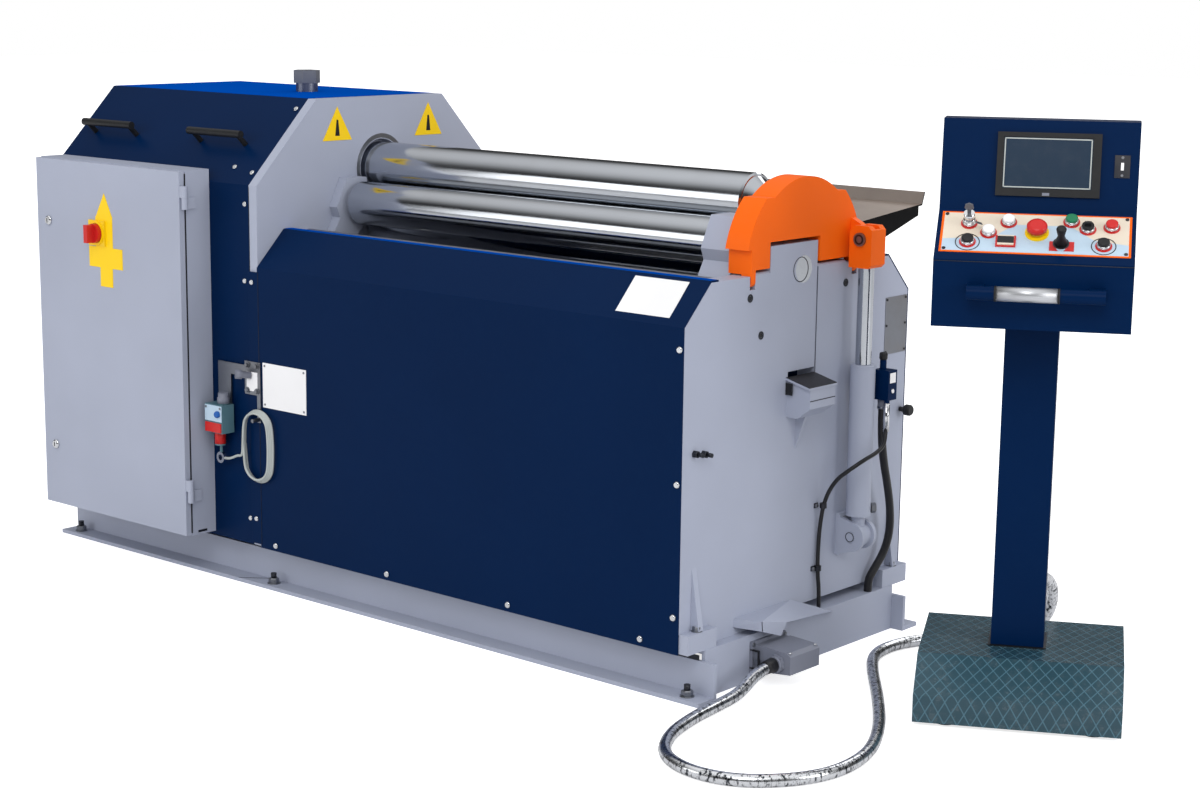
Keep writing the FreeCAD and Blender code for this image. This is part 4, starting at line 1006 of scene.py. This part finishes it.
class MACHINE_OT_console(bpy.types.Operator):
    """Dress the console: deck films, screen, coloured controls, keys and handle grip"""
    bl_idname = "machine.console"
    bl_label = "Console fittings"

    def execute(self, context):
        deck = Shape(DECK)
        deck.box((-208, 22, 0.1), (186, 146, 1.0), "orange_paint")
        deck.box((-203, 26, 1.0), (181, 142, 1.5), "beige_film")
        deck.prism([(-203, 26, 1.5), (181, 26, 1.5), (181, 58, 1.5), (110, 70, 1.5), (60, 110, 1.5),
                    (-55, 110, 1.5), (-90, 78, 1.5), (-130, 68, 1.5), (-203, 60, 1.5)], (0, 0, 0.3),
                   "pale_blue_film")
        for u in (-198, 176):
            for s in (31, 137):
                deck.turned((u, s, 1.5), (0, 0, 1), [(0, 4), (1.5, 4), (2.2, 3)], "dark_steel")
        deck.box((19, 34, 1.5), (70, 62, 3.0), "red_plastic")
        deck.box((-92, 40, 1.5), (-50, 72, 6.0), "red_plastic")
        deck.box((-88, 42, 6.0), (-54, 70, 9.0), "beige_film")
        deck.prism([(-88, 46, 9.0), (-54, 46, 9.0), (-54, 60, 12.5), (-88, 60, 12.5)], (0, 2, 1.0),
                   "black_plastic")
        deck.ring((-8, 86, 1.5), (0, 0, 1), 25, 15.3, 3.5, "yellow_paint")
        deck.place("deck_films")

        caps = Shape(DECK)
        colours = [("bright_chrome", -150, 109), ("white_paint", -68, 116), ("white_paint", -108, 82),
                   ("black_plastic", -150, 52), ("green_plastic", 62, 123), ("black_plastic", 96, 102),
                   ("red_plastic", 145, 110), ("black_plastic", 130, 53)]
        for finish, u, s in colours:
            caps.ring((u, s, 1.8), (0, 0, 1), 17.5, 14.6, 1.6, "red_plastic")
            caps.turned((u, s, 5.9), (0, 0, 1), [(0, 14.4), (3, 14.4), (4.5, 13)], "bright_chrome")
            caps.turned((u, s, 10.2), (0, 0, 1), [(0, 12.6), (5.5, 12.6), (7, 10.5)], finish)
        for u, s in ((-150, 52), (130, 53)):
            caps.ring((u, s, 1.8), (0, 0, 1), 26, 24, 0.4, "black_plastic")
        caps.turned((-8, 86, 14.6), (0, 0, 1), [(0, 21.6), (8.6, 21.6), (12, 19), (14.4, 13)],
                    "red_plastic")
        caps.rod((-150, 109, 16), (0, 0, 1), 16, 11.5, "bright_chrome")
        caps.box((89, 99, 16), (103, 105, 24), "black_plastic")
        caps.turned((43, 50, 48.8), (0, 0, 1), [(0, 10.3), (3, 9.5), (5, 6)], "black_plastic")
        caps.turned((43, 50, 8), (0, 0, 1), [(0, 15), (22, 7), (40, 10.6), (41, 10.6)], "black_plastic")
        caps.rod((43, 50, 8.2), (0, 0, 1), 1.5, 17.2, "dark_steel")
        caps.prism([(-154, 108.2, 32), (-146, 108.2, 32), (-146, 108.2, 40), (-140, 108.2, 46),
                    (-142, 108.2, 56), (-150, 108.2, 60), (-158, 108.2, 56), (-160, 108.2, 46),
                    (-154, 108.2, 40)], (0, 1.8, 0), "oiled_steel")
        caps.prism([(-137, 96, 20), (-124, 100, 12), (-121, 94, 12), (-133, 88, 22)], (0, 0.4, 1.6),
                   "oiled_steel")
        caps.place("deck_controls")

        screen = Shape(SCREEN)
        screen.box((-87, 48, 4.1), (98, 156, 4.7), "screen_glass")
        for low, high in (((-86, 49), (96.5, 51.4)), ((-86, 152.6), (96.5, 155)),
                          ((-86, 49), (-83.6, 155)), ((94.1, 49), (96.5, 155))):
            screen.box((*low, 4.7), (*high, 5.0), "rope_jacket")
        screen.box((144, 76, 0.1), (176, 124, 1.6), "dark_steel")
        screen.box((157, 92, 1.6), (163, 108, 3.4), "white_paint")
        for s in (81, 119):
            screen.rod((160, s, 1.6), (0, 0, 1), 1.2, 3, "oiled_steel", 12)
        screen.box((-3, 33, 6.0), (12, 39, 6.4), "grey_plastic")
        screen.place("screen_parts")

        grip = Shape(FRONT)
        grip.rod((-84, -46, 961), (1, 0, 0), 130, 15.6, "satin_steel", 32)
        for u in (-86, 44):
            grip.rod((u, -46, 961), (1, 0, 0), 4, 16.4, "black_plastic", 32)
        grip.box((-216.4, -0.6, 1019.5), (194.4, 0.1, 1021), "dark_steel")
        grip.place("handle_grip")
        foot = Shape(FRONT)
        foot.box((-75, 184, 138.1), (53, 312, 141), "dark_steel")
        foot.place("column_weld")
        return {"FINISHED"}


class MACHINE_OT_connector(bpy.types.Operator):
    """Add the connector's lever, screws and the cable's gland"""
    bl_idname = "machine.connector"
    bl_label = "Connector fittings"

    def execute(self, context):
        parts = Shape()
        parts.box((1156.2, -206, 29), (1170, -88, 34), "grey_paint")
        for y in (-207.6, -88.4):
            parts.box((1138, y, 44), (1196, y + 2, 56), "oiled_steel")
        parts.rod((1186, -208, 50), (0, 1, 0), 122, 4.0, "oiled_steel", 12)
        for x0, z0, x1, z1 in ((1131, 32, 1157, 36), (1131, 75, 1157, 79), (1153, 36, 1157, 75)):
            parts.box((x0, -212, z0), (x1, -209, z1), "black_plastic")
        for y in (-196, -98):
            parts.turned((1232, y, 84.4), (-0.3, 0, 1), [(0, 5), (2, 5), (3, 4)], "bright_chrome", 12)
        for y, z in ((-208, 28), (-208, 90), (-86, 28), (-86, 90)):
            parts.rod((1138, y, z), (1, 0, 0), 3, 4.5, "oiled_steel", 12)
        parts.place("connector_parts")
        gland = Shape()
        gland.turned((1204, -204.2, 58), (0, -1, 0), [(0, 22), (9, 22)], "grey_plastic", sides=6,
                     smooth=False)
        gland.turned((1204, -213, 58), (0, -1, 0), [(0, 20.3), (6, 20.3), (9, 17)], "grey_plastic")
        gland.turned((1204, -222.4, 58), (0, -1, 0), [(0, 17.5), (24, 15.5), (30, 14.8)], "hose_rubber")
        gland.place("cable_nut")
        sheet = Shape()
        inner, outer, fold, tip = (1102, -238, 151), (1165, -216, 151), (1102, -15, 150.5), (1135, 112, 101)
        sheet.prism([inner, outer, fold], (0, 0, -3), "grey_paint")
        sheet.prism([outer, tip, fold], (0, 0, -3), "grey_paint")
        sheet.prism([outer, (1165, -213, 127), (1165, -139, 101), (1165, -117, 129)], (-3, 0, 0),
                    "grey_paint")
        sheet.prism([outer, (1165, -117, 129), (1140, 100, 104), tip], (-3, 0, 0), "grey_paint")
        sheet.prism([inner, outer, (1165, -213, 127), (1102, -240, 131)], (0, 3, 0), "grey_paint")
        sheet.place("connector_sheet")
        return {"FINISHED"}


class MACHINE_PT_panel(bpy.types.Panel):
    bl_label = "Rolling machine"
    bl_idname = "MACHINE_PT_panel"
    bl_space_type = "VIEW_3D"
    bl_region_type = "UI"
    bl_category = "Rolling machine"

    def draw(self, context):
        for step in STEPS:
            self.layout.operator(step)


STEPS = ("machine.cords", "machine.studio", "machine.finishes", "machine.base", "machine.housing",
         "machine.cabinet", "machine.rolls", "machine.drop_end", "machine.switch", "machine.console",
         "machine.connector")
CLASSES = (FinishSizes, StudioSizes, MACHINE_OT_cords, MACHINE_OT_studio, MACHINE_OT_finishes,
           MACHINE_OT_base, MACHINE_OT_housing, MACHINE_OT_cabinet, MACHINE_OT_rolls,
           MACHINE_OT_drop_end, MACHINE_OT_switch, MACHINE_OT_console, MACHINE_OT_connector,
           MACHINE_PT_panel)


def register():
    for cls in CLASSES:
        bpy.utils.register_class(cls)
    bpy.types.Scene.machine_finish = PointerProperty(type=FinishSizes)
    bpy.types.Scene.machine_studio = PointerProperty(type=StudioSizes)


def unregister():
    del bpy.types.Scene.machine_studio
    del bpy.types.Scene.machine_finish
    for cls in reversed(CLASSES):
        bpy.utils.unregister_class(cls)


def main():
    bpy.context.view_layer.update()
    register()
    for step in STEPS:
        group, name = step.split(".")
        getattr(getattr(bpy.ops, group), name)()


if __name__ == "__main__":
    main()
